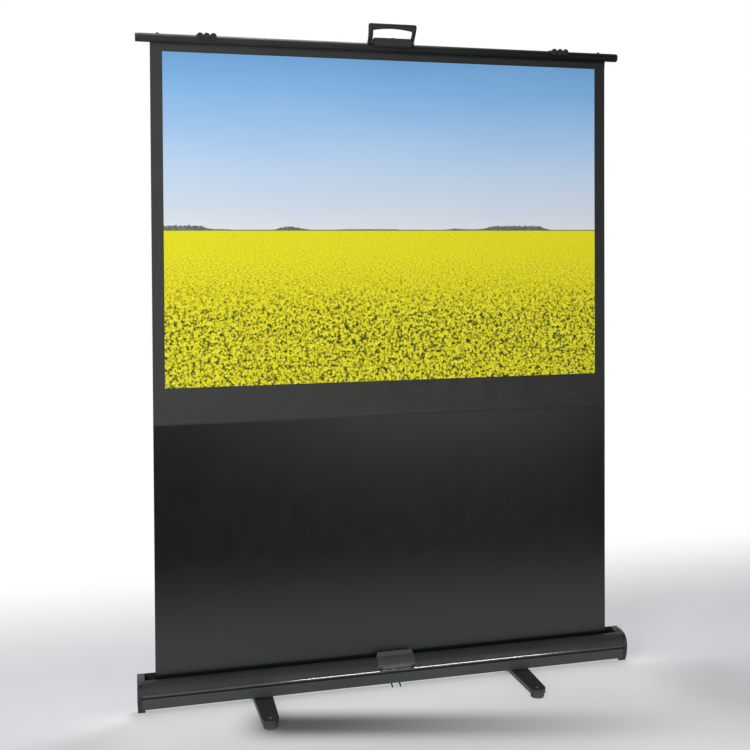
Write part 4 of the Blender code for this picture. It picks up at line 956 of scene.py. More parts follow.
def end_cap_hollows(name, side, outer_x, high_z, spigot_x):
    """The tools that cut the end cap's sunk face, its screws' seats and the roller's bore."""
    outside = outer_x + side * OVERRUN
    corner_y, corner_drop = RIM_CORNER
    sunk = offset_path(casing_path(), -RIM_WIDTH) + [(corner_y, high_z - corner_drop)]
    recess = extruded(f"cap_recess_{name}", sunk, "X", outer_x - side * RIM_DEPTH, outside)
    floor = outer_x - side * SEAT_DEPTH
    profile = [(0, floor), (SEAT_RADIUS, floor), (SEAT_MOUTH_RADIUS, outside), (0, outside)]
    seats = [turned(f"cap_seat_{name}_{index}", profile, "X", *at) for index, at in enumerate(SCREW_PLACES)]
    tip_x = outer_end(f"roller_plug_{name}", side) + side * OVERRUN
    bore = rod(f"cap_bore_{name}", GUDGEON_BORE, spigot_x - side * OVERRUN, tip_x, "X", *ROLLER_AXIS)
    return [recess, *seats, bore]


def add_end_cap(name, side):
    """A moulded end cap: face plate with a raised rim, spigot, lip and two sunk screws."""
    low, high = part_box(f"end_cap_{name}")
    outer_x = outer_end(f"end_cap_{name}", side)
    casing_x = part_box("casing_shell")[1].x
    face_x = side * (casing_x + GAP)
    spigot_x = side * (casing_x - SPIGOT_LENGTH)
    path = casing_path()
    cover = offset_path(path, END_OVERHANG) + [(y, high.z - drop) for y, drop in END_SHOULDER]
    cap = extruded(f"cap_{name}", cover, "X", face_x, outer_x, "black_plastic")
    inner = offset_path(path, -CASING_WALL - GAP)
    spigot = extruded(f"cap_spigot_{name}", inner, "X", spigot_x, face_x + side * OVERRUN)
    carve(cap, "UNION", [spigot, end_cap_lip(name, side, outer_x, low.z)])
    carve(cap, "DIFFERENCE", end_cap_hollows(name, side, outer_x, high.z, spigot_x))
    soften(cap, END_EDGE)
    settle(cap, "casing", "black_plastic", f"end_cap_{name}")
    start = outer_x - side * END_SCREW_DEPTH
    for index, (u, v) in enumerate(SCREW_PLACES):
        head = f"cap_screw_{name}_{index}"
        screw = add_cross_head(head, "X", u, v, start, side, END_SCREW_RADIUS, "zinc_metal")
        settle(screw, "casing", "zinc")


def ripple(x, z, share):
    """How far the taut cloth stands off its plane. Share runs from 0 at one held edge to 1 at the other."""
    slow = sum(size * math.sin(across * x + up * z + start) for size, across, up, start in RIPPLE_WAVES)
    edge = (abs(x) / CLOTH_HALF_WIDTH) ** EDGE_CURL_POWER
    return (RIPPLE * slow + EDGE_CURL * edge) * math.sin(math.pi * share)


def steps_between(low, high, marks, count):
    """Places from low to high, count steps between the two marks and a few steps outside each."""
    first, last = marks
    before = [low + (first - low) * step / BORDER_STEPS for step in range(BORDER_STEPS)]
    middle = [first + (last - first) * step / count for step in range(count)]
    after = [last + (high - last) * step / BORDER_STEPS for step in range(BORDER_STEPS + 1)]
    return before + middle + after


def sheet_layer(bm, columns, rows, offset):
    """One side of a sheet: lines of points, from its foot to its head."""
    low_z, high_z = rows[0], rows[-1]
    layer = []
    for z in rows:
        share = (z - low_z) / (high_z - low_z)
        layer.append([bm.verts.new((x, CLOTH_Y + offset + ripple(x, z, share), z)) for x in columns])
    return layer


def rim_of(layer):
    """The points round the edge of one side of a sheet."""
    first, *_, last = layer
    return [line[0] for line in layer] + last[1:] + [line[-1] for line in layer[-2::-1]] + first[-2:0:-1]


def add_sheet(name, rows, marks, front, picture=None):
    """A taut upright sheet, closed round its edges. A picture fills the space between the marks."""
    sides = (-PICTURE_HALF_WIDTH, PICTURE_HALF_WIDTH)
    columns = steps_between(-CLOTH_HALF_WIDTH, CLOTH_HALF_WIDTH, sides, CLOTH_COLUMNS)
    bm = bmesh.new()
    layers = [sheet_layer(bm, columns, rows, offset) for offset in (0, CLOTH_THICKNESS)]
    for index, layer in enumerate(layers):
        for low, high in zip(layer, layer[1:]):
            for corners in zip(low, low[1:], high[1:], high):
                face = bm.faces.new(corners)
                face.material_index = index
                middle = face.calc_center_median()
                inner = abs(middle.x) < PICTURE_HALF_WIDTH and marks[0] < middle.z < marks[1]
                if picture and inner and not index:
                    face.material_index = 2
    front_rim, back_rim = [rim_of(layer) for layer in layers]
    for place, vert in enumerate(front_rim):
        face = bm.faces.new((front_rim[place - 1], vert, back_rim[place], back_rim[place - 1]))
        face.material_index = 1
    sheet = new_piece(name, bm, front)
    add_looks(sheet, "cloth_backing")
    if picture:
        add_looks(sheet, picture)
    return sheet


def arm_span(name):
    """How far a scissor arm reaches across and up, between the middles of its round ends."""
    low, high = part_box(name)
    return Vector((high.x - low.x - ARM_WIDTH, high.z - low.z - ARM_WIDTH))


def hang(sheet, slot, cad_node, with_pieces=()):
    """Puts a cloth on the casing, and gives it and the pieces that go with it their own copies of their
    meshes.
    """
    settle(sheet, "casing", slot, cad_node)
    for piece in (sheet, *with_pieces):
        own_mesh(piece)


def cloth_wide(name, outline, look):
    """An outline as long in X as the cloth is wide."""
    return extruded(name, outline, "X", -CLOTH_HALF_WIDTH, CLOTH_HALF_WIDTH, look)


def add_picture_cloth():
    """The picture cloth and the welded strip along its foot."""
    low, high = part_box("screen_cloth")
    front_y = CLOTH_Y - WELD_PROUD
    strip = rectangle(front_y, CLOTH_Y - WELD_GAP, low.z - WELD_LAP, low.z + WELD_HEIGHT)
    weld = cloth_wide("seam_weld", rounded(strip, WELD_EDGE, 3), "border_cloth")
    settle(weld, "casing", "black_cloth")
    marks = (PICTURE_LOW_Z, PICTURE_HIGH_Z)
    rows = steps_between(low.z, high.z, marks, CLOTH_ROWS)
    screen = add_sheet("picture_cloth", rows, marks, "border_cloth", "picture")
    hang(screen, "white_cloth", "screen_cloth", [weld])


def add_skirt():
    """The black length below the seam, with a row of points where its tone changes."""
    low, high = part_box("skirt_cloth")
    marks = (SKIRT_MOUTH_Z, SKIRT_SHADE_Z)
    ends = steps_between(low.z, high.z, marks, BORDER_STEPS)
    spans = zip(ends, ends[1:])
    rows = [start + (end - start) * step / SKIRT_ROWS for start, end in spans for step in range(SKIRT_ROWS)]
    skirt = add_sheet("skirt", [*rows, high.z], marks, "skirt_black")
    hang(skirt, "black_cloth", "skirt_cloth")


def add_hem_pocket():
    """The strip that closes the hem. It rides on the top bar and covers the gathered cloth."""
    batten_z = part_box("hem_batten")[0].z
    front_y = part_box("screen_cloth")[0].y - HEM_PROUD
    outline = rectangle(front_y, front_y + HEM_THICKNESS, batten_z - HEM_HEIGHT, batten_z)
    settle(cloth_wide("hem_pocket", outline, "border_cloth"), "top_bar", "black_cloth")


def add_wound_cloth():
    """The last turns of cloth on the roller, as one spiral."""
    steps = FINE_STEPS * WOUND_TURNS
    centre_y, centre_z = ROLLER_AXIS
    spiral = []
    for step in range(steps + 1):
        share = step / steps
        radius = between(WOUND_INNER_RADIUS, WOUND_OUTER_RADIUS - WOUND_THICKNESS, share)
        angle = FULL_TURN * WOUND_TURNS * share
        spiral.append((centre_y + radius * math.cos(angle), centre_z + radius * math.sin(angle)))
    outline = spiral + offset_path(spiral, -WOUND_THICKNESS)[::-1]
    wound = cloth_wide("wound_cloth", outline, "cloth_backing")
    settle(wound, "roller", "black_cloth", "roller_wraps")


def add_tube():
    """The tube across the top, thin walled and open at its ends."""
    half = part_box("top_tube")[1].x
    bore = TUBE_RADIUS - TUBE_WALL
    rim = TUBE_RADIUS - TUBE_EDGE
    straight = half - TUBE_EDGE
    right = [(TUBE_RADIUS, straight), (rim, half), (bore, half)]
    profile = [(TUBE_RADIUS, -straight), *right, (bore, -half), (rim, -half)]
    tube = turned("tube", profile, "X", TUBE_Y, TUBE_Z, "tube_paint", FINE_STEPS, ring=True)
    settle(tube, "top_bar", "black_paint", "top_tube")


def add_plug(name, side):
    """A plug in the tube's end, with a round edge and a shallow dish."""
    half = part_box("top_tube")[1].x
    bore = TUBE_RADIUS - TUBE_WALL - GAP
    end = half + GAP + PLUG_LENGTH
    rim = quarter(TUBE_RADIUS - PLUG_EDGE, end - PLUG_EDGE, PLUG_EDGE)
    dish = TUBE_RADIUS * PLUG_DISH
    floor = end - PLUG_EDGE / 3
    profile = [
        (0, half - PLUG_DEPTH),
        (bore, half - PLUG_DEPTH),
        (bore, half + GAP),
        (TUBE_RADIUS, half + GAP),
        *rim,
        (dish, end),
        (dish * PLUG_DISH_FLOOR, floor),
        (0, floor),
    ]
    profile = [(radius, side * place) for radius, place in profile]
    plug = turned(f"plug_{name}", profile, "X", TUBE_Y, TUBE_Z, "black_plastic", FINE_STEPS)
    settle(plug, "top_bar", "black_plastic", f"tube_plug_{name}")


def add_batten():
    """The bar in the cloth's hem."""
    low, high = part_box("hem_batten")
    outline = rounded(rectangle(low.y, high.y, low.z, high.z), BATTEN_EDGE, QUARTER_STEPS)
    batten = extruded("batten", outline, "X", low.x, high.x, "tube_paint")
    settle(batten, "top_bar", "black_paint", "hem_batten")


def add_nub(name):
    """The domed rivet on top of the tube."""
    low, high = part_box(name)
    centre, radius = measured(name)
    seat = high.z - NUB_HEIGHT
    dome = arc(0, seat + NUB_RIM, radius, NUB_HEIGHT - NUB_RIM, 0, 90, DOME_STEPS)
    shank = radius * NUB_SHANK
    profile = [(0, low.z), (shank, low.z), (shank, seat), (radius, seat), *dome]
    nub = turned(f"{name}_rivet", profile, "Z", centre.x, centre.y, "tube_paint")
    settle(nub, "top_bar", "black_paint", name)


def saddle_outline():
    """The end view of a band that goes over the tube and down behind the arms."""
    outer, inner, turn = SADDLE_RADIUS, TUBE_RADIUS + GAP, SADDLE_TURN
    bottom = TOP_PIVOT_Z - HANGER_DROP
    skirt = TUBE_Z - SADDLE_SKIRT
    return [
        (TUBE_Y - outer, skirt),
        *arc(TUBE_Y, TUBE_Z, outer, outer, 180, 90),
        *arc(HANGER_BACK_Y - turn, TUBE_Z + outer - turn, turn, turn, 90, 0, QUARTER_STEPS),
        (HANGER_BACK_Y, bottom),
        (HANGER_FRONT_Y, bottom),
        (HANGER_FRONT_Y, TUBE_Z),
        *arc(TUBE_Y, TUBE_Z, inner, inner, 0, 180, CURVE_STEPS * 2),
        (TUBE_Y - inner, skirt),
    ]


def add_screw_cap(name, x):
    """A round screw cap on a saddle's front, with a washer and a screw head in its dish."""
    z = TUBE_Z + TUBE_RADIUS - CAP_DROP
    seat = TUBE_Y - SADDLE_RADIUS
    front = seat - CAP_HEIGHT
    floor = front + CAP_EDGE
    face = front + WASHER_DROP
    rim = [(CAP_RADIUS - CAP_EDGE + u, floor - v) for u, v in quarter(0, 0, CAP_EDGE)]
    profile = [(0, seat + CAP_SINK), (CAP_RADIUS, seat + CAP_SINK), *rim]
    profile += [(CAP_RADIUS - CAP_RIM, front), (CAP_RADIUS - CAP_DISH_RIM, floor), (0, floor)]
    cap = turned(f"screw_cap_{name}", profile, "Y", x, z, "black_plastic", SMALL_STEPS)
    settle(cap, "top_bar", "black_paint")
    corners = list(zip(WASHER_RADII, (floor, floor, face, face)))
    washer = turned(f"screw_washer_{name}", corners, "Y", x, z, "black_plastic", ring=True)
    settle(washer, "top_bar", "black_plastic")
    head = add_cross_head(f"saddle_screw_{name}", "Y", x, z, face, -1, SADDLE_SCREW_RADIUS, "black_plastic")
    settle(head, "top_bar", "black_plastic")


def add_left_saddle(pivot_x):
    """The band over the tube on the left, with the hole for the top pivot."""
    low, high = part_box("saddle_left")
    left = extruded("saddle", saddle_outline(), "X", low.x, high.x, "tube_paint")
    hole = rod("saddle_hole", PIVOT_HOLE_RADIUS, *HANGER_CUT, "Y", -pivot_x, TOP_PIVOT_Z)
    carve(left, "DIFFERENCE", [hole])
    soften(left, SADDLE_EDGE)
    settle(left, "top_bar", "black_paint", "saddle_left")


def add_rail(saddle_x, pivot_x):
    """The band over the tube on the right, with the rail that the sliding arm's glide runs in."""
    rail_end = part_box("upper_rail")[1].x
    ends = (saddle_x - SADDLE_HALF_WIDTH, saddle_x + SADDLE_HALF_WIDTH)
    rail = extruded("rail", saddle_outline(), "X", *ends, "tube_paint")
    section = rectangle(HANGER_FRONT_Y, HANGER_BACK_Y, TOP_PIVOT_Z - HANGER_DROP, TOP_PIVOT_Z + HANGER_DROP)
    carve(rail, "UNION", [extruded("rail_plate", section, "X", pivot_x - RAIL_START, rail_end)])
    slot = capsule(pivot_x, rail_end - RAIL_TIP, TOP_PIVOT_Z, SLOT_RADIUS)
    carve(rail, "DIFFERENCE", [extruded("rail_slot", slot, "Y", *HANGER_CUT)])
    soften(rail, SADDLE_EDGE)
    settle(rail, "top_bar", "black_paint", "upper_rail")


def add_saddles():
    """The two bands over the tube, the right one with its rail, and three screw caps side by side on each."""
    saddle_x = -middle_x("saddle_left")
    pivot_x = -middle_x("top_pivot_pin")
    add_left_saddle(pivot_x)
    add_rail(saddle_x, pivot_x)
    for name, side in SIDES.items():
        for index, place in enumerate(CAP_PLACES):
            add_screw_cap(f"{name}_{index}", side * saddle_x + place * CAP_SPACING)


def pin_holes(name, start, end):
    """The tools that bore the handle's two pin holes, between two distances from the middle."""
    return [
        rod(f"{name}_{side_name}", PIN_BORE, side * start, side * end, "X", HINGE_Y, HINGE_Z)
        for side_name, side in SIDES.items()
    ]


def add_handle_base():
    """The block under the handle, with a small catch, a parting line and a pocket for the latch's lip."""
    inner = TUBE_RADIUS + GAP
    seat_start = math.degrees(math.acos((BASE_BACK_Y - TUBE_Y) / inner))
    seat_end = 180 - math.degrees(math.asin((BASE_LOW_Z - TUBE_Z) / inner))
    outline = [
        (BASE_POCKET_BACK_Y, BASE_LOW_Z),
        (BASE_POCKET_BACK_Y, BASE_POCKET_TOP_Z),
        (BASE_FRONT_Y + BASE_WALL, BASE_POCKET_TOP_Z),
        (BASE_FRONT_Y + BASE_WALL, BASE_LOW_Z),
        (BASE_FRONT_Y, BASE_LOW_Z),
        (BASE_FRONT_Y, BASE_TOP_Z),
        (BASE_BACK_Y - BASE_CHAMFER, BASE_TOP_Z),
        (BASE_BACK_Y, BASE_TOP_Z - BASE_CHAMFER),
        *arc(TUBE_Y, TUBE_Z, inner, inner, seat_start, seat_end),
    ]
    base = extruded("grip_base", outline, "X", -BASE_HALF_WIDTH, BASE_HALF_WIDTH, "black_plastic")
    catch = rectangle(BASE_FRONT_Y + CATCH_SETBACK, TUBE_Y, BASE_TOP_Z - OVERRUN, BASE_TOP_Z + CATCH_RISE)
    carve(base, "UNION", [extruded("grip_catch", catch, "X", -CATCH_HALF_WIDTH, CATCH_HALF_WIDTH)])
    low_z, high_z = (BASE_TOP_Z - drop for drop in PARTING_DROPS)
    parting = rectangle(BASE_FRONT_Y - OVERRUN, BASE_FRONT_Y + PARTING_DEPTH, low_z, high_z)
    outside = BASE_HALF_WIDTH + OVERRUN
    line = extruded("grip_line", parting, "X", -outside, outside)
    holes = pin_holes("grip_hole", BASE_HALF_WIDTH - PIN_BORE_DEPTH, outside)
    carve(base, "DIFFERENCE", [line, *holes])
    soften(base, BASE_EDGE)
    settle(base, "top_bar", "black_plastic", "handle_base")


def bail_ring(outer, inner, depth):
    """One round cornered ring of the bail, between a point of its outer edge and one of its inner edge."""
    outer, inner = Vector((outer[0], 0, outer[1])), Vector((inner[0], 0, inner[1]))
    half = (outer - inner) / 2
    centre = (outer + inner) / 2
    lean = Vector((0, bail_lean(centre.z), 0))
    points = []
    for step in range(CURVE_STEPS):
        angle = FULL_TURN * (step + 1 / 2) / CURVE_STEPS
        cosine, sine = math.cos(angle), math.sin(angle)
        flatten = max(abs(cosine), abs(sine)) ** -BAIL_SQUARENESS
        offset = half * (cosine * flatten) + Vector((0, depth / 2 * sine * flatten, 0))
        points.append(centre + lean + offset)
    return points


def bail_lean(z):
    """How far forward the bail has curved at a height, between its hinge and its grip."""
    share = min(max((z - HINGE_Z) / (BAIL_TOP_Z - BAIL_GRIP_THICKNESS - HINGE_Z), 0), 1)
    return HINGE_Y - BAIL_FORWARD * math.sin(share * math.pi / 2)


def bail_edges():
    """Half of the bail: (outer point, inner point, depth) from the right ear's foot to the grip's middle."""
    ear_inner = BASE_HALF_WIDTH + BAIL_SIDE_GAP
    ear_outer = ear_inner + BAIL_EAR_THICKNESS
    ear_depth = 2 * BAIL_EAR_RADIUS
    outer_x, outer_z = BAIL_HALF_WIDTH - BAIL_CORNER, BAIL_TOP_Z - BAIL_CORNER
    leg_inner = BAIL_HALF_WIDTH - BAIL_LEG_WIDTH
    grip_low_z = BAIL_TOP_Z - BAIL_GRIP_THICKNESS
    inner_x, inner_z = leg_inner - BAIL_FILLET, grip_low_z - BAIL_GRIP_DROP - BAIL_FILLET
    steps = CURVE_STEPS // 2
    stations = []
    for step in range(1, steps):
        turn = math.pi / 2 * step / steps
        z = HINGE_Z - BAIL_EAR_RADIUS * math.cos(turn)
        stations.append(((ear_outer, z), (ear_inner, z), ear_depth * math.sin(turn)))
    for step in range(steps):
        share = step / steps
        swell = math.sin(share * share * math.pi / 2)
        outer = (between(ear_outer, BAIL_HALF_WIDTH, swell), between(HINGE_Z, outer_z, share))
        inner = (between(ear_inner, leg_inner, swell), between(HINGE_Z, inner_z, share))
        stations.append((outer, inner, between(ear_depth, BAIL_DEPTH, share)))
    corners = zip(quarter(outer_x, outer_z, BAIL_CORNER), quarter(inner_x, inner_z, BAIL_FILLET))
    stations += [(outer, inner, BAIL_DEPTH) for outer, inner in corners]
    for step in range(1, steps + 1):
        share = 1 - step / steps
        inner = (inner_x * share, grip_low_z - BAIL_GRIP_DROP * share * share)
        stations.append(((outer_x * share, BAIL_TOP_Z), inner, BAIL_DEPTH))
    return stations


def add_bail():
    """The carrying handle, with an ear and a headed pin at each hinge."""
    right = bail_edges()
    left = [((-u, v), (-p, q), depth) for (u, v), (p, q), depth in reversed(right[:-1])]
    bail = lofted("bail", [bail_ring(*station) for station in right + left], "handle_plastic")
    inner = BASE_HALF_WIDTH + BAIL_SIDE_GAP - OVERRUN
    outer = BASE_HALF_WIDTH + BAIL_SIDE_GAP + BAIL_EAR_THICKNESS + OVERRUN
    carve(bail, "DIFFERENCE", pin_holes("bail_hole", inner, outer))
    soften(bail, BAIL_EDGE, 2)
    settle(bail, "handle", "black_plastic", "handle_bail")
    for name in SIDES:
        finish_node(f"handle_pin_{name}", "zinc_metal")


def latch_outline(start):
    """The end view of the latch plate: over the casing's front curve, then up into a leaning lip."""
    skin = front_curve(start, LATCH_END)
    foot_y, _ = skin[-1]
    lip = (foot_y + LATCH_LIP_LEAN, LATCH_LIP_TOP_Z)
    path = offset_path(skin, LATCH_SKIN_GAP) + [lip]
    return path[::-1] + offset_path(path, LATCH_THICKNESS)


def latch_corner(name, side):
    """The tool that narrows the latch's lip towards its top at one side."""
    _, front_z = FRONT_EDGE
    narrow = side * (LATCH_HALF_WIDTH - LATCH_LIP_TAPER)
    outside = side * (LATCH_HALF_WIDTH + OVERRUN)
    above = LATCH_LIP_TOP_Z + OVERRUN
    foot = (side * LATCH_HALF_WIDTH, front_z)
    outline = [(narrow, above), (narrow, LATCH_LIP_TOP_Z), foot, (outside, front_z), (outside, above)]
    return extruded(f"latch_corner_{name}", outline, "Y", -HALF_DEPTH, 0)


def add_latch():
    """The sprung catch: a plate whose lip narrows upwards, and a barrel in the bead's paint, lighter for a
    painted highlight.
    """
    skin = offset_path(front_curve(0, LATCH_BARREL_SPAN), LATCH_BARREL_RADIUS + LATCH_SKIN_GAP)
    hinge_y, hinge_z = skin[len(skin) // 2]
    outline = latch_outline(LATCH_PLATE_START)
    plate = extruded("latch", outline, "X", -LATCH_HALF_WIDTH, LATCH_HALF_WIDTH, "latch_plastic")
    half = LATCH_TONGUE_HALF_WIDTH
    tongue = extruded("latch_tongue", latch_outline(LATCH_TONGUE_START), "X", -half, half)
    barrel = rod("latch_barrel", LATCH_BARREL_RADIUS, OVERRUN - half, half - OVERRUN, "X", hinge_y, hinge_z)
    carve(plate, "UNION", [tongue, barrel])
    carve(plate, "DIFFERENCE", [latch_corner(name, side) for name, side in SIDES.items()])
    # Painted highlight: the barrel takes the bead's lighter paint, so the bead's highlight line runs on
    # across it
    add_looks(plate, "bead_highlight_paint")
    for face in plate.data.polygons:
        if math.hypot(face.center.y - hinge_y, face.center.z - hinge_z) < LATCH_BARREL_RADIUS:
            face.material_index = 1
    soften(plate, LATCH_EDGE)
    settle(plate, "latch", "black_plastic", "latch_plate")
    finish_node("latch_pin", "zinc_metal")
    for name in SIDES:
        finish_node(f"latch_lug_{name}", "casing_paint")


def wire_route(low, high):
    """The bent wire's path: from its left tip back and up, across behind, and out to its right tip."""
    half, top = high.x - WIRE_RADIUS, high.z - WIRE_RADIUS
    tip_y, tip_z = low.y + WIRE_RADIUS / 2, low.z + WIRE_RADIUS / 2
    dip_z = top - (top - tip_z) * WIRE_BEND / (WIRE_FRONT_Y - tip_y)
    left = [
        (-half, tip_y, tip_z),
        (-half, WIRE_FRONT_Y - WIRE_BEND, dip_z),
        (-half, WIRE_FRONT_Y + WIRE_BEND, top),
        (-half, WIRE_BACK_Y - WIRE_BEND, top),
        (WIRE_BEND - half, WIRE_BACK_Y, top),
    ]
    return left + [(-x, y, z) for x, y, z in reversed(left)]


def add_wire():
    """The bent wire under the casing, with round bends."""
    route = wire_route(*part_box("hanging_wire"))
    curve = bpy.data.curves.new("wire", "CURVE")
    curve.dimensions = "3D"
    curve.bevel_depth = WIRE_RADIUS
    curve.bevel_resolution = 5
    curve.resolution_u = 8
    curve.use_fill_caps = True
    spline = curve.splines.new("NURBS")
    spline.points.add(len(route) - 1)
    for point, place in zip(spline.points, route):
        point.co = (*place, 1)
    spline.order_u = 3
    spline.use_endpoint_u = True
    wire = bpy.data.objects.new("hook_wire", curve)
    bpy.context.scene.collection.objects.link(wire)
    # The wire's own black, the same paint as the cove's painted shade
    add_looks(wire, "cove_shade_and_wire_black")
    settle(wire, "casing", "zinc", "hanging_wire")


def foot_outline(x):
    """The top view of a foot: round ends, and straight sides that widen towards its middle."""
    radius = FOOT_WIDTH / 2
    half_middle = FOOT_MIDDLE_WIDTH / 2
    ends = FOOT_REACH - radius
    taper = math.degrees(math.atan2(half_middle - radius, ends))
    front = arc(x, -ends, radius, radius, 180 + taper, 360 - taper)
    back = arc(x, ends, radius, radius, taper, 180 - taper)
    return [*front, (x + half_middle, 0), *back, (x - half_middle, 0)]


def add_foot(name, side):
    """A foot bar with softened edges, its boss, and the bores for its bolt and its pads' studs."""
    x = side * FOOT_X
    foot = extruded(f"foot_bar_{name}", foot_outline(x), "Z", FOOT_LOW_Z, FOOT_TOP_Z, "foot_paint")
    boss_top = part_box(f"foot_{name}")[1].z
    seat = FOOT_TOP_Z - OVERRUN
    carve(foot, "UNION", [rod(f"foot_boss_{name}", FOOT_BOSS_RADIUS, seat, boss_top, "Z", x, 0, FINE_STEPS)])
    below = FOOT_LOW_Z - OVERRUN
    bores = (
        (0, FOOT_BOLT_BORE, boss_top + OVERRUN),
        (0, FOOT_HEAD_BORE, FOOT_LOW_Z + FOOT_HEAD_DEPTH),
        (-PAD_REACH, FOOT_PAD_BORE, FOOT_TOP_Z + OVERRUN),
        (PAD_REACH, FOOT_PAD_BORE, FOOT_TOP_Z + OVERRUN),
    )
    holes = [
        rod(f"foot_hole_{name}_{index}", radius, below, end, "Z", x, y)
        for index, (y, radius, end) in enumerate(bores)
    ]
    carve(foot, "DIFFERENCE", holes)
    soften(foot, FOOT_EDGE, 4)
    settle(foot, f"foot_{name}", "black_paint", f"foot_{name}")
    finish_node(f"foot_bolt_{name}", "screw_coat")


def add_pad(name):
    """A levelling pad: two rubber rings with a groove between them, on a stud with a screw head."""
    centre, radius = measured(name)
    outer, collar = radius - PAD_EDGE, PAD_COLLAR_RADIUS - PAD_EDGE
    hollow, rim = (radius * share for share in PAD_HOLLOW_SHARES)
    top = FOOT_TOP_Z + GAP
    profile = [
        (0, PAD_HOLLOW),
        (hollow, PAD_HOLLOW),
        (rim, 0),
        *quarter(outer, PAD_EDGE, PAD_EDGE, -90),
        *quarter(outer, PAD_RING_Z - PAD_EDGE, PAD_EDGE),
        (PAD_NECK_RADIUS, PAD_RING_Z),
        (PAD_NECK_RADIUS, PAD_COLLAR_Z),
        *quarter(collar, PAD_COLLAR_Z + PAD_EDGE, PAD_EDGE, -90),
        *quarter(collar, PAD_TOP_Z - PAD_EDGE, PAD_EDGE),
        (PAD_STUD_RADIUS, PAD_TOP_Z),
        (PAD_STUD_RADIUS, top),
        (0, top),
    ]
    pad = turned(f"{name}_rubber", profile, "Z", centre.x, centre.y, "pad_rubber", FINE_STEPS)
    settle(pad, name, "rubber", name)
    head = add_cross_head(f"{name}_screw", "Z", centre.x, centre.y, top, 1, PAD_SCREW_RADIUS, "screw_coat")
    settle(head, name, "zinc")


def add_arm(name, layer):
    """A flat scissor arm with round ends and softened edges."""
    centre, _ = measured(name)
    front = LAYERS[layer]
    span = arm_span(name)
    angle = math.atan2(span.y, span.x)
    outline = capsule(-span.length / 2, span.length / 2, 0, ARM_WIDTH / 2)
    arm = extruded(f"{name}_bar", outline, "Y", front, front + ARM_THICKNESS, "arm_paint")
    turn = Matrix.Rotation(-angle if layer == "front" else angle, 4, "Y")
    arm.data.transform(Matrix.Translation((centre.x, 0, centre.z)) @ turn)
    soften(arm, ARM_EDGE)
    settle(arm, name, "black_paint", name)


def add_rivet(name, body):
    """A domed rivet in place of its plain CAD form."""
    low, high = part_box(name)
    centre, radius = measured(name)
    dome = arc(0, 0, radius, RIVET_DOME, 90, 0, QUARTER_STEPS)
    front, back = low.y + RIVET_DOME, high.y - RIVET_DOME
    under_front, under_back = low.y + RIVET_HEAD, high.y - RIVET_HEAD
    profile = [
        *((u, front - v) for u, v in dome),
        (radius, under_front),
        (RIVET_SHANK, under_front),
        (RIVET_SHANK, under_back),
        (radius, under_back),
        *((u, back + v) for u, v in reversed(dome)),
    ]
    rivet = turned(f"{name}_head", profile, "Y", centre.x, centre.z, "zinc_metal")
    settle(rivet, body, "zinc", name)


def add_lift():
    """The arms, the rivets that join them, and the finish of the pins and tracks."""
    for tier in ("low", "mid", "high"):
        for layer in LAYERS:
            add_arm(f"arm_{tier}_{layer}", layer)
    for body, names in frame["record"]["behaviour"]["bodies"].items():
        for name in names:
            if name.startswith("rivet_"):
                add_rivet(name, body)
    for name in ("lower_pivot_bracket", "lower_track", "lower_pivot_pin", "top_pivot_pin"):
        finish_node(name, "zinc_metal")
    for name in ("glide_low", "glide_high"):
        finish_node(name, "white_nylon")


def add_camera():
    """The photograph's camera."""
    data = bpy.data.cameras.new("camera")
    data.sensor_width = SENSOR_WIDTH
    data.lens = FOCAL_PIXELS / IMAGE_WIDTH * SENSOR_WIDTH
    data.shift_y = (PRINCIPAL_ROW - IMAGE_WIDTH / 2) / IMAGE_WIDTH
    camera = bpy.data.objects.new("camera", data)
    bpy.context.scene.collection.objects.link(camera)
    upright = Matrix.Rotation(math.pi / 2 - CAMERA_DROP, 4, "X")
    roll = Matrix.Rotation(CAMERA_ROLL, 4, "Z")
    yaw = Matrix.Rotation(-CAMERA_YAW, 4, "Z")
    camera.matrix_world = Matrix.Translation(CAMERA_PLACE) @ yaw @ upright @ roll
    bpy.context.scene.camera = camera


def mirrored(mat):
    """One where a mirror or a clear surface looks at this point, and nothing otherwise."""
    path = node(mat, "ShaderNodeLightPath").outputs
    return number(mat, "MAXIMUM", path["Is Glossy Ray"], path["Is Transmission Ray"])


def seen_by_camera(mat):
    """One where the camera itself looks at this point."""
    return node(mat, "ShaderNodeLightPath").outputs["Is Camera Ray"]


def add_world():
    """Plain light all round, white for the camera. Gloss sees a white backdrop and a dimmer room in front."""
    world = bpy.data.worlds.new("studio")
    bpy.context.scene.world = world
    world.use_nodes = True
    background = world.node_tree.nodes["Background"]
    background.inputs["Color"].default_value = (1.0, 1.0, 1.0, 1)
    direction = node(world, "ShaderNodeTexCoord").outputs["Generated"]
    towards = lined_up(world, direction, ROOM_GLOW_DIRECTION)
    room = fade(world, towards, ROOM_GLOW_EDGE, ROOM_GLOW_CORE, ROOM_DARK, ROOM_GLOW)
    room = fade(world, split(world, direction)["Y"], *ROOM_FRONT, room, 1.0)
    light = fade(world, mirrored(world), 0.0, 1.0, WORLD_LIGHT, room)
    join(world, fade(world, seen_by_camera(world), 0.0, 1.0, light, 1.0), background.inputs["Strength"])


def soft_shade(mat, place):
    """How deep the long soft shade on the floor in front of the screen is, from nothing to one."""
    inputs = {0: place, 1: SHADE_START}
    offset = node(mat, "ShaderNodeVectorMath", inputs, operation="SUBTRACT").outputs["Vector"]
    cosine, sine = math.cos(SHADE_TURN), math.sin(SHADE_TURN)
    length = lined_up(mat, offset, (cosine, sine, 0))
    width = number(mat, "ABSOLUTE", lined_up(mat, offset, (-sine, cosine, 0)))
    left = fade(mat, length, SHADE_LEFT, 0.0)
    right = fade(mat, length, 0.0, SHADE_RIGHT, 1.0, 0.0)
    core = fade(mat, width, SHADE_CORE, SHADE_HALF_WIDTH, 1.0, 0.0)
    return times(mat, core, times(mat, left, right))


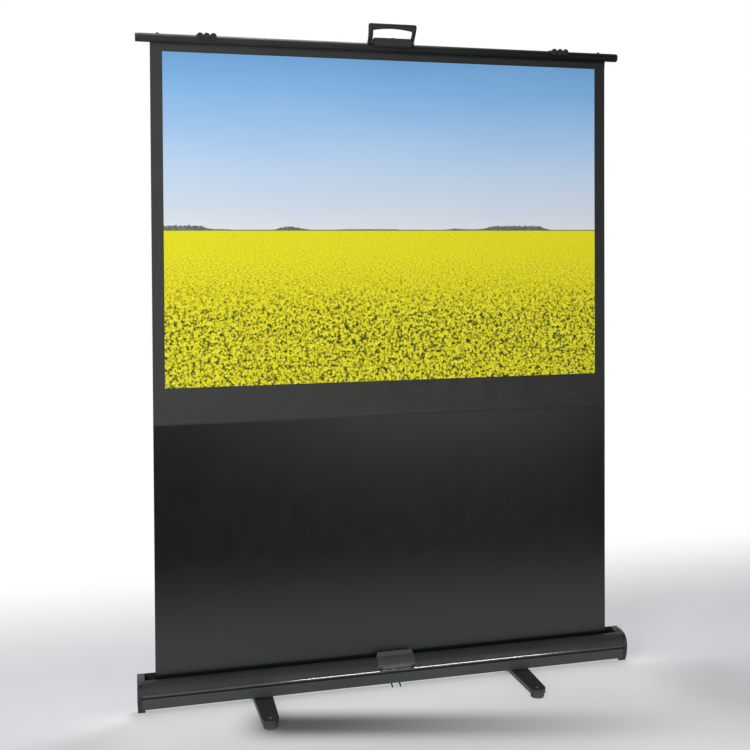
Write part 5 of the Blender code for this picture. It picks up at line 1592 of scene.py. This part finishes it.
def floor_glow(mat, axes, shade):
    """How white the floor is where the camera or a mirror sees it, and how strongly it glows there."""
    depth = axes["Y"]
    front = fade(mat, depth, *FLOOR_GLOW_Y, *FLOOR_GLOW)
    front = times(mat, front, fade(mat, depth, *FLOOR_FRONT_Y, 1.0, 0.0))
    beside = fade(mat, number(mat, "ABSOLUTE", axes["X"]), *FLOOR_GLOW_X, 1.0, 0.0)
    front = times(mat, front, beside)
    away = fade(mat, number(mat, "ABSOLUTE", depth), *FLOOR_FADE)
    pale = number(mat, "MAXIMUM", away, front)
    pale = times(mat, pale, number(mat, "SUBTRACT", 1.0, shade))
    watched = number(mat, "MAXIMUM", mirrored(mat), seen_by_camera(mat))
    dim = fade(mat, depth, *FLOOR_DIM, ROOM_DARK, 1.0)
    strength = fade(mat, seen_by_camera(mat), 0.0, 1.0, dim, 1.0)
    return times(mat, pale, watched), strength


def floor_look(name):
    """A pale floor that pales to white away from the screen. Gloss sees it grow dim in the room in front."""
    mat = new_material(name, FLOOR_COLOUR, 0.55, 0.25)
    place = place_in_metres(mat)
    add_mottle(mat, place, FLOOR_COLOUR, 0.012, 3.0)
    shade = soft_shade(mat, place)
    darkness = times(mat, shade, SHADE_DEPTH)
    feed(mat, "Base Color", mixed(mat, darkness, fed(mat, "Base Color"), (0.0, 0.0, 0.0)))
    add_bump(mat, noise(mat, place, 260.0, 3.0), 0.1, 0.0003)
    white, strength = floor_glow(mat, split(mat, place), shade)
    glow = node(mat, "ShaderNodeEmission", {"Color": (1, 1, 1, 1), "Strength": strength})
    surfaces = {0: white, 1: shader_of(mat).outputs["BSDF"], 2: glow.outputs["Emission"]}
    blend = node(mat, "ShaderNodeMixShader", surfaces)
    join(mat, blend.outputs["Shader"], mat.node_tree.nodes["Material Output"].inputs["Surface"])
    return mat


def add_floor():
    """The floor that the screen stands on."""
    bm = bmesh.new()
    corners = rectangle(-FLOOR_HALF_SIZE, FLOOR_HALF_SIZE, -FLOOR_HALF_SIZE, FLOOR_HALF_SIZE)
    bm.faces.new([bm.verts.new((x, y, 0)) for x, y in corners])
    new_piece("floor", bm, "floor")


def add_lamp(name, place, target, size, power):
    """A large soft lamp aimed at a point."""
    data = bpy.data.lights.new(name, "AREA")
    data.shape = "RECTANGLE"
    data.size, data.size_y = size
    data.energy = power
    lamp = bpy.data.objects.new(name, data)
    lamp.visible_camera = False
    bpy.context.scene.collection.objects.link(lamp)
    direction = Vector(target) - Vector(place)
    lamp.matrix_world = Matrix.Translation(place) @ direction.to_track_quat("-Z", "Y").to_matrix().to_4x4()


with open("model.json") as file:
    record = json.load(file)
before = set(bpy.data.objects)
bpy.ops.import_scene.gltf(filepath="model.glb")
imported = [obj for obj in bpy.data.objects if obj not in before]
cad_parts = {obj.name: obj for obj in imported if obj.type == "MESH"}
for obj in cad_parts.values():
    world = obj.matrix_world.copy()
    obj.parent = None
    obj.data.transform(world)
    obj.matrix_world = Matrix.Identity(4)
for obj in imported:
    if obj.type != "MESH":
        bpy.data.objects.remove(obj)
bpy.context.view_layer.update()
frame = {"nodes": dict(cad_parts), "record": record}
bpy.context.scene.view_settings.view_transform = "Standard"
looks = make_looks()

add_camera()
add_world()
add_floor()
for lamp_name, values in LAMPS.items():
    add_lamp(lamp_name, *values)
add_casing()
for side_name, side_sign in SIDES.items():
    add_end_cap(side_name, side_sign)
    add_foot(side_name, side_sign)
    add_nub(f"nub_{side_name}")
    finish_node(f"roller_plug_{side_name}", "grey_plastic")
    for end_name in ENDS:
        add_pad(f"pad_{side_name}_{end_name}")
finish_node("roller_tube", "bare_aluminium")
add_tube()
for side_name, side_sign in SIDES.items():
    add_plug(side_name, side_sign)
add_batten()
add_picture_cloth()
add_skirt()
add_hem_pocket()
add_wound_cloth()
add_saddles()
add_handle_base()
add_bail()
add_latch()
add_wire()
add_lift()
